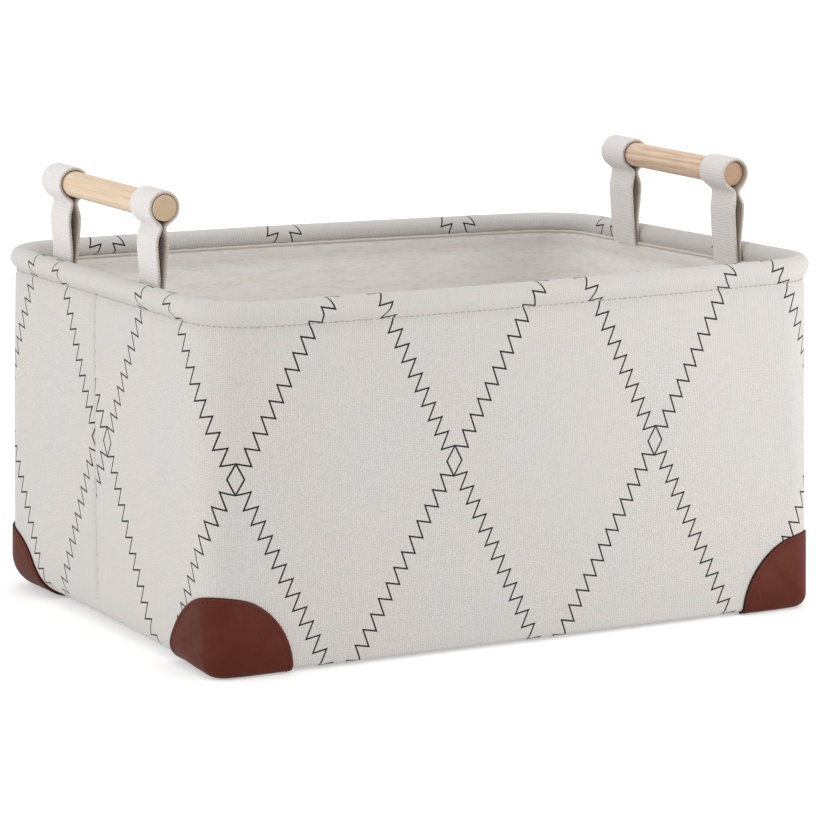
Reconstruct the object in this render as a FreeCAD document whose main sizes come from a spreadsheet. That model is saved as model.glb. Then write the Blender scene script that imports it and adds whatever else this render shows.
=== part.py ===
"""Fabric storage bin: stiffened canvas walls, a wired rim, leather corners and two dowel handles.

Millimetres. The origin is the middle of the footprint on the ground, +Z is up, +X runs along the long
front wall and -Y is the front. Every layer of the wall is a loft between one outline at the base and one
at the hem; a layer's offset says how far it lies inside the canvas's outer face.
"""
import FreeCAD, Part
import math
import os
import Sketcher

V = FreeCAD.Vector
SHEET = "Dimensions"

DIMENSIONS = {
    # base outline, outer face of the canvas
    "base_half_length": 201.8,
    "base_half_width": 140.3,
    "base_corner": 13.0,
    "base_bow": 1.0,
    # outline at the hem's stitch line, outer face of the canvas
    "hem_half_length": 204.0,
    "hem_half_width": 150.5,
    "hem_corner": 37.0,
    "hem_bow": 5.5,
    "hem_height": 197.0,
    # centre line of the rolled rim
    "rim_half_length": 202.0,
    "rim_half_width": 147.2,
    "rim_corner": 36.0,
    "rim_bow": 6.5,
    "rim_height": 204.7,
    "rim_radius": 6.3,
    "neck_half": 2.2,
    # wire inside the rim and the sleeve that joins its ends
    "wire_radius": 2.0,
    "wire_bore": 2.1,
    "sleeve_radius": 3.0,
    "sleeve_length": 30.0,
    # layers
    "leather": 1.7,
    "canvas": 1.2,
    "stiffener": 2.4,
    "lining": 0.8,
    "board": 2.0,
    # where the flat stiffeners stop short of the corners
    "long_stiffener_half": 158.0,
    "short_stiffener_half": 100.0,
    # leather corners: the ball that cuts each patch out of the leather layer
    "patch_radius": 49.5,
    "patch_drop": 1.5,
    "patch_corner_in": 1.5,
    # handles
    "strap_width": 25.0,
    "strap_x": 192.2,
    "front_strap_edge": -34.5,
    "back_strap_edge": 74.0,
    "hinge_height": 214.0,
    "foot_half": 2.5,
    "bulge_half": 5.0,
    "bulge_rise": 15.0,
    "slit_half": 2.8,
    "slit_low": 4.0,
    "slit_high": 24.0,
    "throat_half": 2.2,
    "throat_rise": 27.6,
    "dowel_rise": 39.6,
    "eyelet_outer": 10.0,
    "eyelet_bore": 7.8,
    "dowel_radius": 7.5,
    "dowel_bevel": 0.6,
    "tab_thickness": 4.4,
    "tab_low": 193.5,
    "tab_top": 209.5,
    "tab_tail_top": 198.2,
    "tab_tail_reach": 199.5,
}

BIG = 260.0        # half size of the boxes that trim layers, past every side of the bin


def dim(name):
    return DIMENSIONS[name]


def cell(name):
    return SHEET + "." + name


def make_sheet(doc):
    sheet = doc.addObject("Spreadsheet::Sheet", SHEET)
    for row, (alias, value) in enumerate(DIMENSIONS.items(), start=1):
        sheet.set("A%d" % row, alias)
        sheet.set("B%d" % row, str(value))
        sheet.setAlias("B%d" % row, alias)
    doc.recompute()
    return sheet


def plane_of(body, role):
    return next(f for f in body.Origin.OriginFeatures if f.Role == role)


def sketch_on(body, name, role, offset):
    """A sketch on one of the body's own planes; offset holds three expressions, local to the plane."""
    sketch = body.newObject("Sketcher::SketchObject", name)
    sketch.AttachmentSupport = [(plane_of(body, role), "")]
    sketch.MapMode = "FlatFace"
    for axis, expression in zip("xyz", offset):
        if expression is not None:
            sketch.setExpression("AttachmentOffset.Base." + axis, expression)
    return sketch


def driven(sketch, constraint, name, expression):
    """Add a sketch dimension, name it and bind it to the sheet."""
    index = sketch.addConstraint(constraint)
    sketch.renameConstraint(index, name)
    sketch.setExpression("Constraints." + name, expression)
    return index


class Outline:
    """A rounded rectangle whose two long sides are bowed outwards, set in by an offset."""

    def __init__(self, level, offset="0", offset_value=0.0):
        self.half_length = cell(level + "_half_length")
        self.half_width = cell(level + "_half_width")
        self.corner = cell(level + "_corner")
        self.bow = cell(level + "_bow")
        self.offset = offset
        a, b, r, s = (dim(level + k) for k in ("_half_length", "_half_width", "_corner", "_bow"))
        self.radius_of_bow = ((a - r) ** 2 + s ** 2) / (2 * s) - offset_value
        self.bow_centre = b - self.radius_of_bow - offset_value
        self.a = a - offset_value
        self.r = r - offset_value
        self.corner_x = self.a - self.r
        self.corner_y = self.bow_centre + math.sqrt((self.radius_of_bow - self.r) ** 2 - self.corner_x ** 2)

    def bow_radius_expression(self):
        chord = "(%s - %s)" % (self.half_length, self.corner)
        return "(%s^2 + %s^2) / (2 * %s)" % (chord, self.bow, self.bow)

    def corner_arc(self, side_x, side_y):
        """Corner arc, counter-clockwise, in the quadrant given by the two signs."""
        centre = V(side_x * self.corner_x, side_y * self.corner_y, 0)
        lean = math.atan2(self.corner_y - self.bow_centre, self.corner_x)
        angles = {(1, 1): (0, lean), (-1, 1): (math.pi - lean, math.pi),
                  (-1, -1): (math.pi, math.pi + lean), (1, -1): (-lean, 0)}
        start, end = angles[(side_x, side_y)]
        return Part.ArcOfCircle(Part.Circle(centre, V(0, 0, 1), self.r), start, end)

    def bow_arc(self, side_y):
        lean = math.atan2(self.corner_y - self.bow_centre, self.corner_x)
        centre = V(0, side_y * self.bow_centre, 0)
        start, end = (lean, math.pi - lean) if side_y > 0 else (math.pi + lean, 2 * math.pi - lean)
        return Part.ArcOfCircle(Part.Circle(centre, V(0, 0, 1), self.radius_of_bow), start, end)

    def draw(self, sketch, half=False):
        """Draw the whole outline, or the open front half that starts and ends on the X axis."""
        a, y = self.a, self.corner_y
        low = 0 if half else y
        edges = [Part.LineSegment(V(-a, low, 0), V(-a, -y, 0)), self.corner_arc(-1, -1), self.bow_arc(-1),
                 self.corner_arc(1, -1), Part.LineSegment(V(a, -y, 0), V(a, low, 0))]
        if not half:
            edges += [self.corner_arc(1, 1), self.bow_arc(1), self.corner_arc(-1, 1)]
        sketch.addGeometry(edges, False)
        count = len(edges)
        start, end, centre = 1, 2, 3
        for i in range(count - 1 if half else count):
            sketch.addConstraint(Sketcher.Constraint("Tangent", i, end, (i + 1) % count, start))
        left, first_corner, front_bow, right = 0, 1, 2, 4
        corners = (3,) if half else (3, 5, 7)
        for other in corners:
            sketch.addConstraint(Sketcher.Constraint("Equal", first_corner, other))
        sketch.addConstraint(Sketcher.Constraint("PointOnObject", front_bow, centre, -2))
        if half:
            sketch.addConstraint(Sketcher.Constraint("PointOnObject", left, start, -1))
            sketch.addConstraint(Sketcher.Constraint("PointOnObject", right, end, -1))
        else:
            back_bow = 6
            sketch.addConstraint(Sketcher.Constraint("Equal", front_bow, back_bow))
            sketch.addConstraint(Sketcher.Constraint("Symmetric", front_bow, centre, back_bow, centre, -1, 1))
        length = "%s - (%s)" % (self.half_length, self.offset)
        driven(sketch, Sketcher.Constraint("DistanceX", left, end, -1, 1, a), "left", length)
        driven(sketch, Sketcher.Constraint("DistanceX", -1, 1, right, start, a), "right", length)
        driven(sketch, Sketcher.Constraint("Radius", first_corner, self.r), "corner",
               "%s - (%s)" % (self.corner, self.offset))
        bow = self.bow_radius_expression()
        driven(sketch, Sketcher.Constraint("Radius", front_bow, self.radius_of_bow), "bow",
               "%s - (%s)" % (bow, self.offset))
        driven(sketch, Sketcher.Constraint("DistanceY", -1, 1, front_bow, centre, -self.bow_centre), "bow_centre",
               "%s - %s" % (bow, self.half_width))


def loft(body, kind, name, sections):
    """Ruled loft through (outline, height expression) pairs, added to or cut from the body."""
    sketches = []
    for i, (outline, height) in enumerate(sections):
        sketch = sketch_on(body, "%s_%d" % (name, i), "XY_Plane", (None, None, height))
        outline.draw(sketch)
        sketches.append(sketch)
    feature = body.newObject("PartDesign::" + kind, name)
    feature.Profile = sketches[0]
    feature.Sections = sketches[1:]
    feature.Ruled = True
    for sketch in sketches:
        sketch.Visibility = False
    return feature


def offset_pair(names):
    """Expression and value of the sum of named layer thicknesses; a leading minus means outwards."""
    if not names:
        return "0", 0.0
    terms = [("-1 * " + cell(n[1:]), -dim(n[1:])) if n.startswith("-") else (cell(n), dim(n)) for n in names]
    return " + ".join(t[0] for t in terms), sum(t[1] for t in terms)


def wall_sections(names, low=cell("leather")):
    """The base and hem outlines at one offset, each with its height."""
    return [(Outline("base", *offset_pair(names)), low), (Outline("hem", *offset_pair(names)), cell("hem_height"))]


def wall_layer(doc, name, outer, inner=None):
    """The space between two offsets of the wall, from the ground side up to the hem."""
    body = doc.addObject("PartDesign::Body", name)
    loft(body, "AdditiveLoft", name + "_outside", wall_sections(outer))
    if inner is not None:
        loft(body, "SubtractiveLoft", name + "_inside", wall_sections(inner))
    return body


def box(doc, name, low, high):
    """A box between two corners given as expressions."""
    solid = doc.addObject("Part::Box", name)
    for size, axis, a, b in zip(("Length", "Width", "Height"), "xyz", low, high):
        solid.setExpression(size, "%s - (%s)" % (b, a))
        solid.setExpression("Placement.Base." + axis, "(%s) * 1mm" % a)
    return solid


def boolean(doc, kind, name, base, tool):
    feature = doc.addObject("Part::" + kind, name)
    feature.Base = base
    feature.Tool = tool
    return feature


def mirrored(doc, name, source, normal):
    feature = doc.addObject("Part::Mirroring", name)
    feature.Source = source
    feature.Base = V(0, 0, 0)
    feature.Normal = normal
    return feature


def rim_pipe(doc, name, radius):
    """Front half of a round bar that follows the rim's centre line, cut square on the X axis."""
    body = doc.addObject("PartDesign::Body", name)
    spine = sketch_on(body, name + "_path", "XY_Plane", (None, None, cell("rim_height")))
    Outline("rim").draw(spine, half=True)
    profile = sketch_on(body, name + "_section", "XZ_Plane", (None, None, None))
    centre = V(-dim("rim_half_length"), dim("rim_height"), 0)
    profile.addGeometry(Part.Circle(centre, V(0, 0, 1), dim(radius)), False)
    driven(profile, Sketcher.Constraint("Radius", 0, dim(radius)), "bar_radius", cell(radius))
    driven(profile, Sketcher.Constraint("DistanceX", 0, 3, -1, 1, dim("rim_half_length")), "out",
           cell("rim_half_length"))
    driven(profile, Sketcher.Constraint("DistanceY", -1, 1, 0, 3, dim("rim_height")), "up", cell("rim_height"))
    pipe = body.newObject("PartDesign::AdditivePipe", name + "_bar")
    pipe.Profile = profile
    pipe.Spine = spine
    return body


def neck_ring(doc):
    """The turned-in canvas between the stitch line and the roll."""
    body = doc.addObject("PartDesign::Body", "neck")
    outer = Outline("rim", "-1 * " + cell("neck_half"), -dim("neck_half"))
    inner = Outline("rim", cell("neck_half"), dim("neck_half"))
    wall = ("canvas", "stiffener", "lining")
    loft(body, "AdditiveLoft", "neck_outside",
         [(Outline("hem"), cell("hem_height")), (outer, cell("rim_height"))])
    loft(body, "SubtractiveLoft", "neck_inside",
         [(Outline("hem", *offset_pair(wall)), cell("hem_height")), (inner, cell("rim_height"))])
    return body


def outer_panels(doc):
    """Front and back canvas panels: wall, half of each end, and half of the rolled rim."""
    wall = wall_layer(doc, "canvas_layer", (), ("canvas",))
    floor = "%s + %s" % (cell("leather"), cell("canvas"))
    front_room = box(doc, "front_room", (str(-BIG), str(-BIG), floor), (str(BIG), "0", str(BIG)))
    front_wall = boolean(doc, "Common", "front_wall", wall, front_room)
    front_neck = boolean(doc, "Common", "front_neck", neck_ring(doc), front_room)
    roll = rim_pipe(doc, "roll", "rim_radius")
    bore = rim_pipe(doc, "bore", "wire_bore")
    hem = boolean(doc, "Fuse", "front_hem", front_neck, roll)
    joined = boolean(doc, "Fuse", "front_cloth", front_wall, hem)
    front = boolean(doc, "Cut", "outer_front_panel", joined, bore)
    back_copy = mirrored(doc, "back_cloth", front, V(0, 1, 0))
    room = sleeve_bar(doc, "sleeve_room", "%s + 0.05" % cell("sleeve_radius"), "%s + 1" % cell("sleeve_length"))
    back = boolean(doc, "Cut", "outer_back_panel", back_copy, room)
    return [front, back]


def sleeve_bar(doc, name, radius, length):
    """Round bar along X, centred on the wire behind the middle of the back wall."""
    bar = doc.addObject("Part::Cylinder", name)
    bar.setExpression("Radius", radius)
    bar.setExpression("Height", length)
    bar.Placement = FreeCAD.Placement(V(0, 0, 0), FreeCAD.Rotation(V(0, 1, 0), 90))
    bar.setExpression("Placement.Base.x", "-0.5mm * (%s)" % length)
    bar.setExpression("Placement.Base.y", "%s * 1mm" % cell("rim_half_width"))
    bar.setExpression("Placement.Base.z", "%s * 1mm" % cell("rim_height"))
    return bar


def rim_wire(doc):
    """One steel hoop, and the sleeve squeezed over its two ends."""
    front = rim_pipe(doc, "wire_front", "wire_radius")
    back = mirrored(doc, "wire_back", front, V(0, 1, 0))
    hoop = boolean(doc, "Fuse", "rim_wire", front, back)
    hoop.Refine = True
    outside = sleeve_bar(doc, "sleeve_outside", cell("sleeve_radius"), cell("sleeve_length"))
    inside = sleeve_bar(doc, "sleeve_inside", cell("wire_bore"), "%s + 2" % cell("sleeve_length"))
    return [hoop, boolean(doc, "Cut", "rim_wire_sleeve", outside, inside)]


def slab(doc, name, layer_names, low, high):
    """The part of everything inside an offset that lies between two heights."""
    body = wall_layer(doc, name + "_block", layer_names)
    room = box(doc, name + "_room", (str(-BIG), str(-BIG), low), (str(BIG), str(BIG), high))
    return boolean(doc, "Common", name, body, room)


def base_layers(doc):
    """Canvas underside, sewn-in board and the lining of the floor."""
    under = cell("leather")
    canvas_top = "%s + %s" % (under, cell("canvas"))
    board_top = "%s + %s" % (canvas_top, cell("board"))
    lining_top = "%s + %s" % (board_top, cell("lining"))
    return [slab(doc, "outer_base_panel", (), under, canvas_top),
            slab(doc, "base_board", ("canvas",), canvas_top, board_top),
            slab(doc, "floor_lining", ("canvas", "stiffener"), board_top, lining_top)]


def wall_stiffeners(doc):
    """Four flat sheets between canvas and lining that stop short of the corners."""
    layer = wall_layer(doc, "stiffener_layer", ("canvas",), ("canvas", "stiffener"))
    low = "%s + %s + %s" % (cell("leather"), cell("canvas"), cell("board"))
    long_half, short_half = cell("long_stiffener_half"), cell("short_stiffener_half")
    rooms = {
        "front_stiffener": (("-" + long_half, str(-BIG)), (long_half, "0")),
        "back_stiffener": (("-" + long_half, "0"), (long_half, str(BIG))),
        "left_stiffener": ((str(-BIG), "-" + short_half), ("0", short_half)),
        "right_stiffener": (("0", "-" + short_half), (str(BIG), short_half)),
    }
    made = []
    for name, (start, end) in rooms.items():
        room = box(doc, name + "_room", start + (low,), end + (str(BIG),))
        made.append(boolean(doc, "Common", name, layer, room))
    return made


def wall_lining(doc):
    """One strip of lining round the inside, standing on the floor lining."""
    layer = wall_layer(doc, "lining_layer", ("canvas", "stiffener"), ("canvas", "stiffener", "lining"))
    low = "%s + %s + %s + %s" % (cell("leather"), cell("canvas"), cell("board"), cell("lining"))
    room = box(doc, "lining_room", (str(-BIG), str(-BIG), low), (str(BIG), str(BIG), str(BIG)))
    return [boolean(doc, "Common", "wall_lining", layer, room)]


def corner_patches(doc):
    """Leather folded round each bottom corner and tucked under the base."""
    leather = doc.addObject("PartDesign::Body", "leather_layer")
    loft(leather, "AdditiveLoft", "leather_outside", wall_sections(("-leather",), "0"))
    bin_block = wall_layer(doc, "bin_block", ())
    shell = boolean(doc, "Cut", "leather_shell", leather, bin_block)
    made = []
    for name, x, y in (("front_left", -1, -1), ("front_right", 1, -1), ("back_left", -1, 1), ("back_right", 1, 1)):
        ball = doc.addObject("Part::Sphere", name + "_ball")
        ball.setExpression("Radius", cell("patch_radius"))
        inset = cell("patch_corner_in")
        ball.setExpression("Placement.Base.x", "%d * (%s - %s) * 1mm" % (x, cell("base_half_length"), inset))
        ball.setExpression("Placement.Base.y", "%d * (%s - %s) * 1mm" % (y, cell("base_half_width"), inset))
        ball.setExpression("Placement.Base.z", "-%s * 1mm" % cell("patch_drop"))
        made.append(boolean(doc, "Common", name + "_corner_patch", shell, ball))
    return made


def strap_outline(sketch):
    """Webbing seen on edge: rounded foot on the hinge line, two bulging legs, throat and eyelet."""
    foot, bulge, throat = dim("foot_half"), dim("bulge_half"), dim("throat_half")
    bulge_up, throat_up, eye_up, eye = (dim(k) for k in ("bulge_rise", "throat_rise", "dowel_rise", "eyelet_outer"))
    reach = math.hypot(throat, eye_up - throat_up)
    turn = math.acos(eye / reach) + math.atan2(throat, eye_up - throat_up)
    touch = V(eye * math.sin(turn), eye_up - eye * math.cos(turn), 0)
    right = [V(foot, 0, 0), V(bulge, bulge_up, 0), V(throat, throat_up, 0), touch]
    left = [V(-p.x, p.y, 0) for p in right]
    lines = [Part.LineSegment(a, b) for a, b in zip(right, right[1:])]
    back = [Part.LineSegment(a, b) for a, b in zip(left[::-1], left[::-1][1:])]
    eye_arc = Part.ArcOfCircle(Part.Circle(V(0, eye_up, 0), V(0, 0, 1), eye), turn - math.pi / 2,
                               3 * math.pi / 2 - turn)
    foot_arc = Part.ArcOfCircle(Part.Circle(V(0, 0, 0), V(0, 0, 1), foot), math.pi, 2 * math.pi)
    sketch.addGeometry(lines + [eye_arc] + back + [foot_arc], False)
    start, end, centre = 1, 2, 3
    arc, foot_index = 3, 7
    for i, j in ((0, 1), (1, 2), (4, 5), (5, 6), (6, 7), (7, 0)):
        sketch.addConstraint(Sketcher.Constraint("Coincident", i, end, j, start))
    for i, j in ((2, 3), (3, 4)):
        sketch.addConstraint(Sketcher.Constraint("Tangent", i, end, j, start))
    sketch.addConstraint(Sketcher.Constraint("Coincident", foot_index, centre, -1, 1))
    sketch.addConstraint(Sketcher.Constraint("PointOnObject", arc, centre, -2))
    sketch.addConstraint(Sketcher.Constraint("PointOnObject", 0, start, -1))
    sketch.addConstraint(Sketcher.Constraint("PointOnObject", foot_index, start, -1))
    sketch.addConstraint(Sketcher.Constraint("Symmetric", 0, end, 5, end, -2))
    sketch.addConstraint(Sketcher.Constraint("Symmetric", 1, end, 4, end, -2))
    driven(sketch, Sketcher.Constraint("Radius", foot_index, foot), "foot_radius", cell("foot_half"))
    driven(sketch, Sketcher.Constraint("Radius", arc, eye), "eye_radius", cell("eyelet_outer"))
    driven(sketch, Sketcher.Constraint("DistanceY", -1, 1, arc, centre, eye_up), "rise", cell("dowel_rise"))
    driven(sketch, Sketcher.Constraint("DistanceX", -1, 1, 0, end, bulge), "bulge_out", cell("bulge_half"))
    driven(sketch, Sketcher.Constraint("DistanceY", -1, 1, 0, end, bulge_up), "bulge_up", cell("bulge_rise"))
    driven(sketch, Sketcher.Constraint("DistanceX", -1, 1, 1, end, throat), "throat_out", cell("throat_half"))
    driven(sketch, Sketcher.Constraint("DistanceY", -1, 1, 1, end, throat_up), "throat_up", cell("throat_rise"))


def slit_outline(sketch):
    """The lens-shaped gap between the two legs and the bore that the dowel turns in."""
    half, low, high, middle = dim("slit_half"), dim("slit_low"), dim("slit_high"), dim("bulge_rise")
    points = [V(0, low, 0), V(half, middle, 0), V(0, high, 0), V(-half, middle, 0)]
    edges = [Part.LineSegment(a, b) for a, b in zip(points, points[1:] + points[:1])]
    bore = Part.Circle(V(0, dim("dowel_rise"), 0), V(0, 0, 1), dim("eyelet_bore"))
    sketch.addGeometry(edges + [bore], False)
    start, end, centre, bore_index = 1, 2, 3, 4
    for i in range(4):
        sketch.addConstraint(Sketcher.Constraint("Coincident", i, end, (i + 1) % 4, start))
    for i in (0, 2):
        sketch.addConstraint(Sketcher.Constraint("PointOnObject", i, start, -2))
    sketch.addConstraint(Sketcher.Constraint("Symmetric", 0, end, 2, end, -2))
    sketch.addConstraint(Sketcher.Constraint("PointOnObject", bore_index, centre, -2))
    driven(sketch, Sketcher.Constraint("DistanceY", -1, 1, 0, start, low), "low", cell("slit_low"))
    driven(sketch, Sketcher.Constraint("DistanceY", -1, 1, 2, start, high), "high", cell("slit_high"))
    driven(sketch, Sketcher.Constraint("DistanceX", -1, 1, 0, end, half), "out", cell("slit_half"))
    driven(sketch, Sketcher.Constraint("DistanceY", -1, 1, 0, end, middle), "middle", cell("bulge_rise"))
    driven(sketch, Sketcher.Constraint("Radius", bore_index, dim("eyelet_bore")), "bore_radius", cell("eyelet_bore"))
    driven(sketch, Sketcher.Constraint("DistanceY", -1, 1, bore_index, centre, dim("dowel_rise")), "rise",
           cell("dowel_rise"))


def strap(doc, name, side, edge):
    """A webbing loop whose edge nearest the back of the bin lies at the named dimension."""
    body = doc.addObject("PartDesign::Body", name)
    place = ("%d * %s" % (side, cell("strap_x")), cell("hinge_height"), "-1 * " + cell(edge))
    outline = sketch_on(body, name + "_outline", "XZ_Plane", place)
    strap_outline(outline)
    pad = body.newObject("PartDesign::Pad", name + "_webbing")
    pad.Profile = outline
    pad.setExpression("Length", cell("strap_width"))
    doc.recompute()
    solid_volume = pad.Shape.Volume
    gaps = sketch_on(body, name + "_gaps", "XZ_Plane", place)
    slit_outline(gaps)
    pocket = body.newObject("PartDesign::Pocket", name + "_slit")
    pocket.Profile = gaps
    pocket.setExpression("Length", cell("strap_width"))
    pocket.Reversed = True
    doc.recompute()
    if pocket.Shape.Volume > 0.75 * solid_volume:
        raise RuntimeError(name + ": the slit and bore were not cut")
    return body


def strap_tab(doc, name, side, edge):
    """The sewn end of the webbing: upright beside the rolled hem, its tail turned out to the stitch line."""
    inner = "%s - %s / 2" % (cell("strap_x"), cell("tab_thickness"))
    parts = []
    for part, reach, top in (("upright", "%s + %s / 2" % (cell("strap_x"), cell("tab_thickness")), "tab_top"),
                             ("tail", cell("tab_tail_reach"), "tab_tail_top")):
        near, far = (inner, reach) if side > 0 else ("-1 * (%s)" % reach, "-1 * (%s)" % inner)
        low = (near, "%s - %s" % (cell(edge), cell("strap_width")), cell("tab_low"))
        parts.append(box(doc, name + "_" + part, low, (far, cell(edge), cell(top))))
    tab = boolean(doc, "Fuse", name, *parts)
    tab.Refine = True
    return tab


def dowel(doc, name, side):
    """Wooden bar through both eyelets, its ends flush with the webbing and lightly bevelled."""
    bar = doc.addObject("Part::Cylinder", name + "_bar")
    bar.setExpression("Radius", cell("dowel_radius"))
    length = "(%s - %s + %s)" % (cell("back_strap_edge"), cell("front_strap_edge"), cell("strap_width"))
    bar.setExpression("Height", length)
    bar.Placement = FreeCAD.Placement(V(0, 0, 0), FreeCAD.Rotation(V(1, 0, 0), 90))
    bar.setExpression("Placement.Base.x", "%d * %s * 1mm" % (side, cell("strap_x")))
    bar.setExpression("Placement.Base.y", "%s * 1mm" % cell("back_strap_edge"))
    bar.setExpression("Placement.Base.z", "(%s + %s) * 1mm" % (cell("hinge_height"), cell("dowel_rise")))
    doc.recompute()
    bevel = doc.addObject("Part::Chamfer", name)
    bevel.Base = bar
    rims = [i for i, e in enumerate(bar.Shape.Edges, start=1) if isinstance(e.Curve, Part.Circle)]
    bevel.Edges = [(i, dim("dowel_bevel"), dim("dowel_bevel")) for i in rims]
    return bevel


def handles(doc):
    made = []
    for hand, side in (("left", -1), ("right", 1)):
        for end in ("front", "back"):
            edge = end + "_strap_edge"
            made.append(strap(doc, "%s_%s_strap" % (hand, end), side, edge))
            made.append(strap_tab(doc, "%s_%s_strap_tab" % (hand, end), side, edge))
        made.append(dowel(doc, hand + "_dowel", side))
    return made


def check(doc, sub_parts):
    for thing in doc.Objects:
        if "Invalid" in thing.State or "Error" in thing.State:
            raise RuntimeError("%s failed: %s" % (thing.Name, thing.State))
    for thing in sub_parts:
        shape = thing.Shape
        if shape.isNull() or not shape.isValid() or not shape.Solids:
            raise RuntimeError("%s has no valid solid" % thing.Label)


def main():
    doc = FreeCAD.newDocument("storage_bin")
    make_sheet(doc)
    sub_parts = outer_panels(doc) + base_layers(doc) + wall_stiffeners(doc) + wall_lining(doc)
    sub_parts += rim_wire(doc) + corner_patches(doc) + handles(doc)
    doc.recompute()
    check(doc, sub_parts)
    os.makedirs("parts", exist_ok=True)
    for thing in sub_parts:
        shape = thing.Shape
        shape.exportStep("parts/%s.step" % thing.Label)
        room = shape.optimalBoundingBox()
        print("%-26s %d solid(s) %10.0f mm3  x %7.1f %7.1f  y %7.1f %7.1f  z %7.1f %7.1f" % (
            thing.Label, len(shape.Solids), shape.Volume,
            room.XMin, room.XMax, room.YMin, room.YMax, room.ZMin, room.ZMax))


main()
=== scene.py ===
"""Looks for a rectangular canvas storage bin: printed canvas with a rolled rim, grey lining, leather
corners and two dowel handles in webbing loops. Everything is in metres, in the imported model's frame.
"""

import math

import bmesh
import bpy
import numpy as np
from mathutils import Matrix, Vector


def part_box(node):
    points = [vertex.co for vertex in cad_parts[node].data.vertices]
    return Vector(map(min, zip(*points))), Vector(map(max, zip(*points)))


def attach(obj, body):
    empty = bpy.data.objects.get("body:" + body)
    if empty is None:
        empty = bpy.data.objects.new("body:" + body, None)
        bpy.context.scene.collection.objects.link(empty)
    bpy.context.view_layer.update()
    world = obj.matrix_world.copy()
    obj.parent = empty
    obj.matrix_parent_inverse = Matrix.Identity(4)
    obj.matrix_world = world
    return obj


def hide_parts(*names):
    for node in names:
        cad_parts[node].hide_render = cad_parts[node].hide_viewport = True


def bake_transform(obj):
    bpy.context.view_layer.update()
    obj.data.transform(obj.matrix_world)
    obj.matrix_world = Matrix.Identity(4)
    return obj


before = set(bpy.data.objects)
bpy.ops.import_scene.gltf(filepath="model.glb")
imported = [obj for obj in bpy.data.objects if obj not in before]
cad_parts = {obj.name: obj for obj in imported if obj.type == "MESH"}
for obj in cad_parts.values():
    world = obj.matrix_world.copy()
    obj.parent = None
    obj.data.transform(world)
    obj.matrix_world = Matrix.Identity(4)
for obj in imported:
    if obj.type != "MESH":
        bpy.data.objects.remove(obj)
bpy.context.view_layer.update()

bl_info = {
    "name": "Canvas storage bin",
    "version": (1, 0, 0),
    "blender": (4, 5, 0),
    "location": "View3D > Sidebar > Bin",
    "description": "Builds a lined canvas bin with a printed zigzag pattern around a packed frame",
    "category": "Add Mesh",
}

MM = 0.001
ROLL_LOW, ROLL_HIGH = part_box("outer_front_panel")
WIRE_LOW, WIRE_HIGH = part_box("rim_wire")
WIRE_RADIUS = (WIRE_HIGH.z - WIRE_LOW.z) / 2 / MM
ROLL_CENTRE = (WIRE_HIGH.z + WIRE_LOW.z) / 2 / MM
ROLL_RADIUS = ROLL_HIGH.z / MM - ROLL_CENTRE
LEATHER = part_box("outer_base_panel")[0].z / MM
BASE_HALF = [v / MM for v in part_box("outer_base_panel")[1]]


# ---------------------------------------------------------------- settings

class BinShape(bpy.types.PropertyGroup):
    """Sizes of the sewn parts."""
    cloth: bpy.props.FloatProperty(
        name="Canvas thickness", description="Thickness of the outer canvas",
        default=1.2 * MM, unit="LENGTH")
    seam: bpy.props.FloatProperty(
        name="Seam place", description="How far behind the middle the end seams lie",
        default=7.5 * MM, unit="LENGTH")
    leather: bpy.props.FloatProperty(
        name="Leather thickness", description="Thickness of the corner patches",
        default=LEATHER * MM, unit="LENGTH")
    webbing: bpy.props.FloatProperty(
        name="Webbing thickness", description="Thickness of the handle webbing",
        default=2.1 * MM, unit="LENGTH")
    rib: bpy.props.FloatProperty(
        name="Webbing rib", description="Distance between the webbing's cross ribs",
        default=1.55 * MM, unit="LENGTH")
    stitch: bpy.props.FloatProperty(
        name="Stitch pitch", description="Distance between hem stitches",
        default=3.6 * MM, unit="LENGTH")


class BinFinish(bpy.types.PropertyGroup):
    """Colours a user would change."""
    canvas: bpy.props.FloatVectorProperty(name="Canvas", description="Undyed canvas", size=3,
                                          subtype="COLOR", default=(0.535, 0.512, 0.495))
    print: bpy.props.FloatVectorProperty(name="Print", description="Ink of the zigzag lines", size=3,
                                         subtype="COLOR", default=(0.006, 0.005, 0.005))
    lining: bpy.props.FloatVectorProperty(name="Lining", description="Heathered lining cloth", size=3,
                                          subtype="COLOR", default=(0.775, 0.745, 0.722))
    leather: bpy.props.FloatVectorProperty(name="Leather", description="Corner leather", size=3,
                                           subtype="COLOR", default=(0.068, 0.0112, 0.0042))
    webbing: bpy.props.FloatVectorProperty(name="Webbing", description="Handle webbing", size=3,
                                           subtype="COLOR", default=(0.625, 0.598, 0.580))
    thread: bpy.props.FloatVectorProperty(name="Thread", description="Hem thread", size=3,
                                          subtype="COLOR", default=(0.37, 0.33, 0.295))


def shape():
    return bpy.context.scene.bin_shape


def finish():
    return bpy.context.scene.bin_finish


# ---------------------------------------------------------------- the bin's outline and cloth surface

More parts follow.
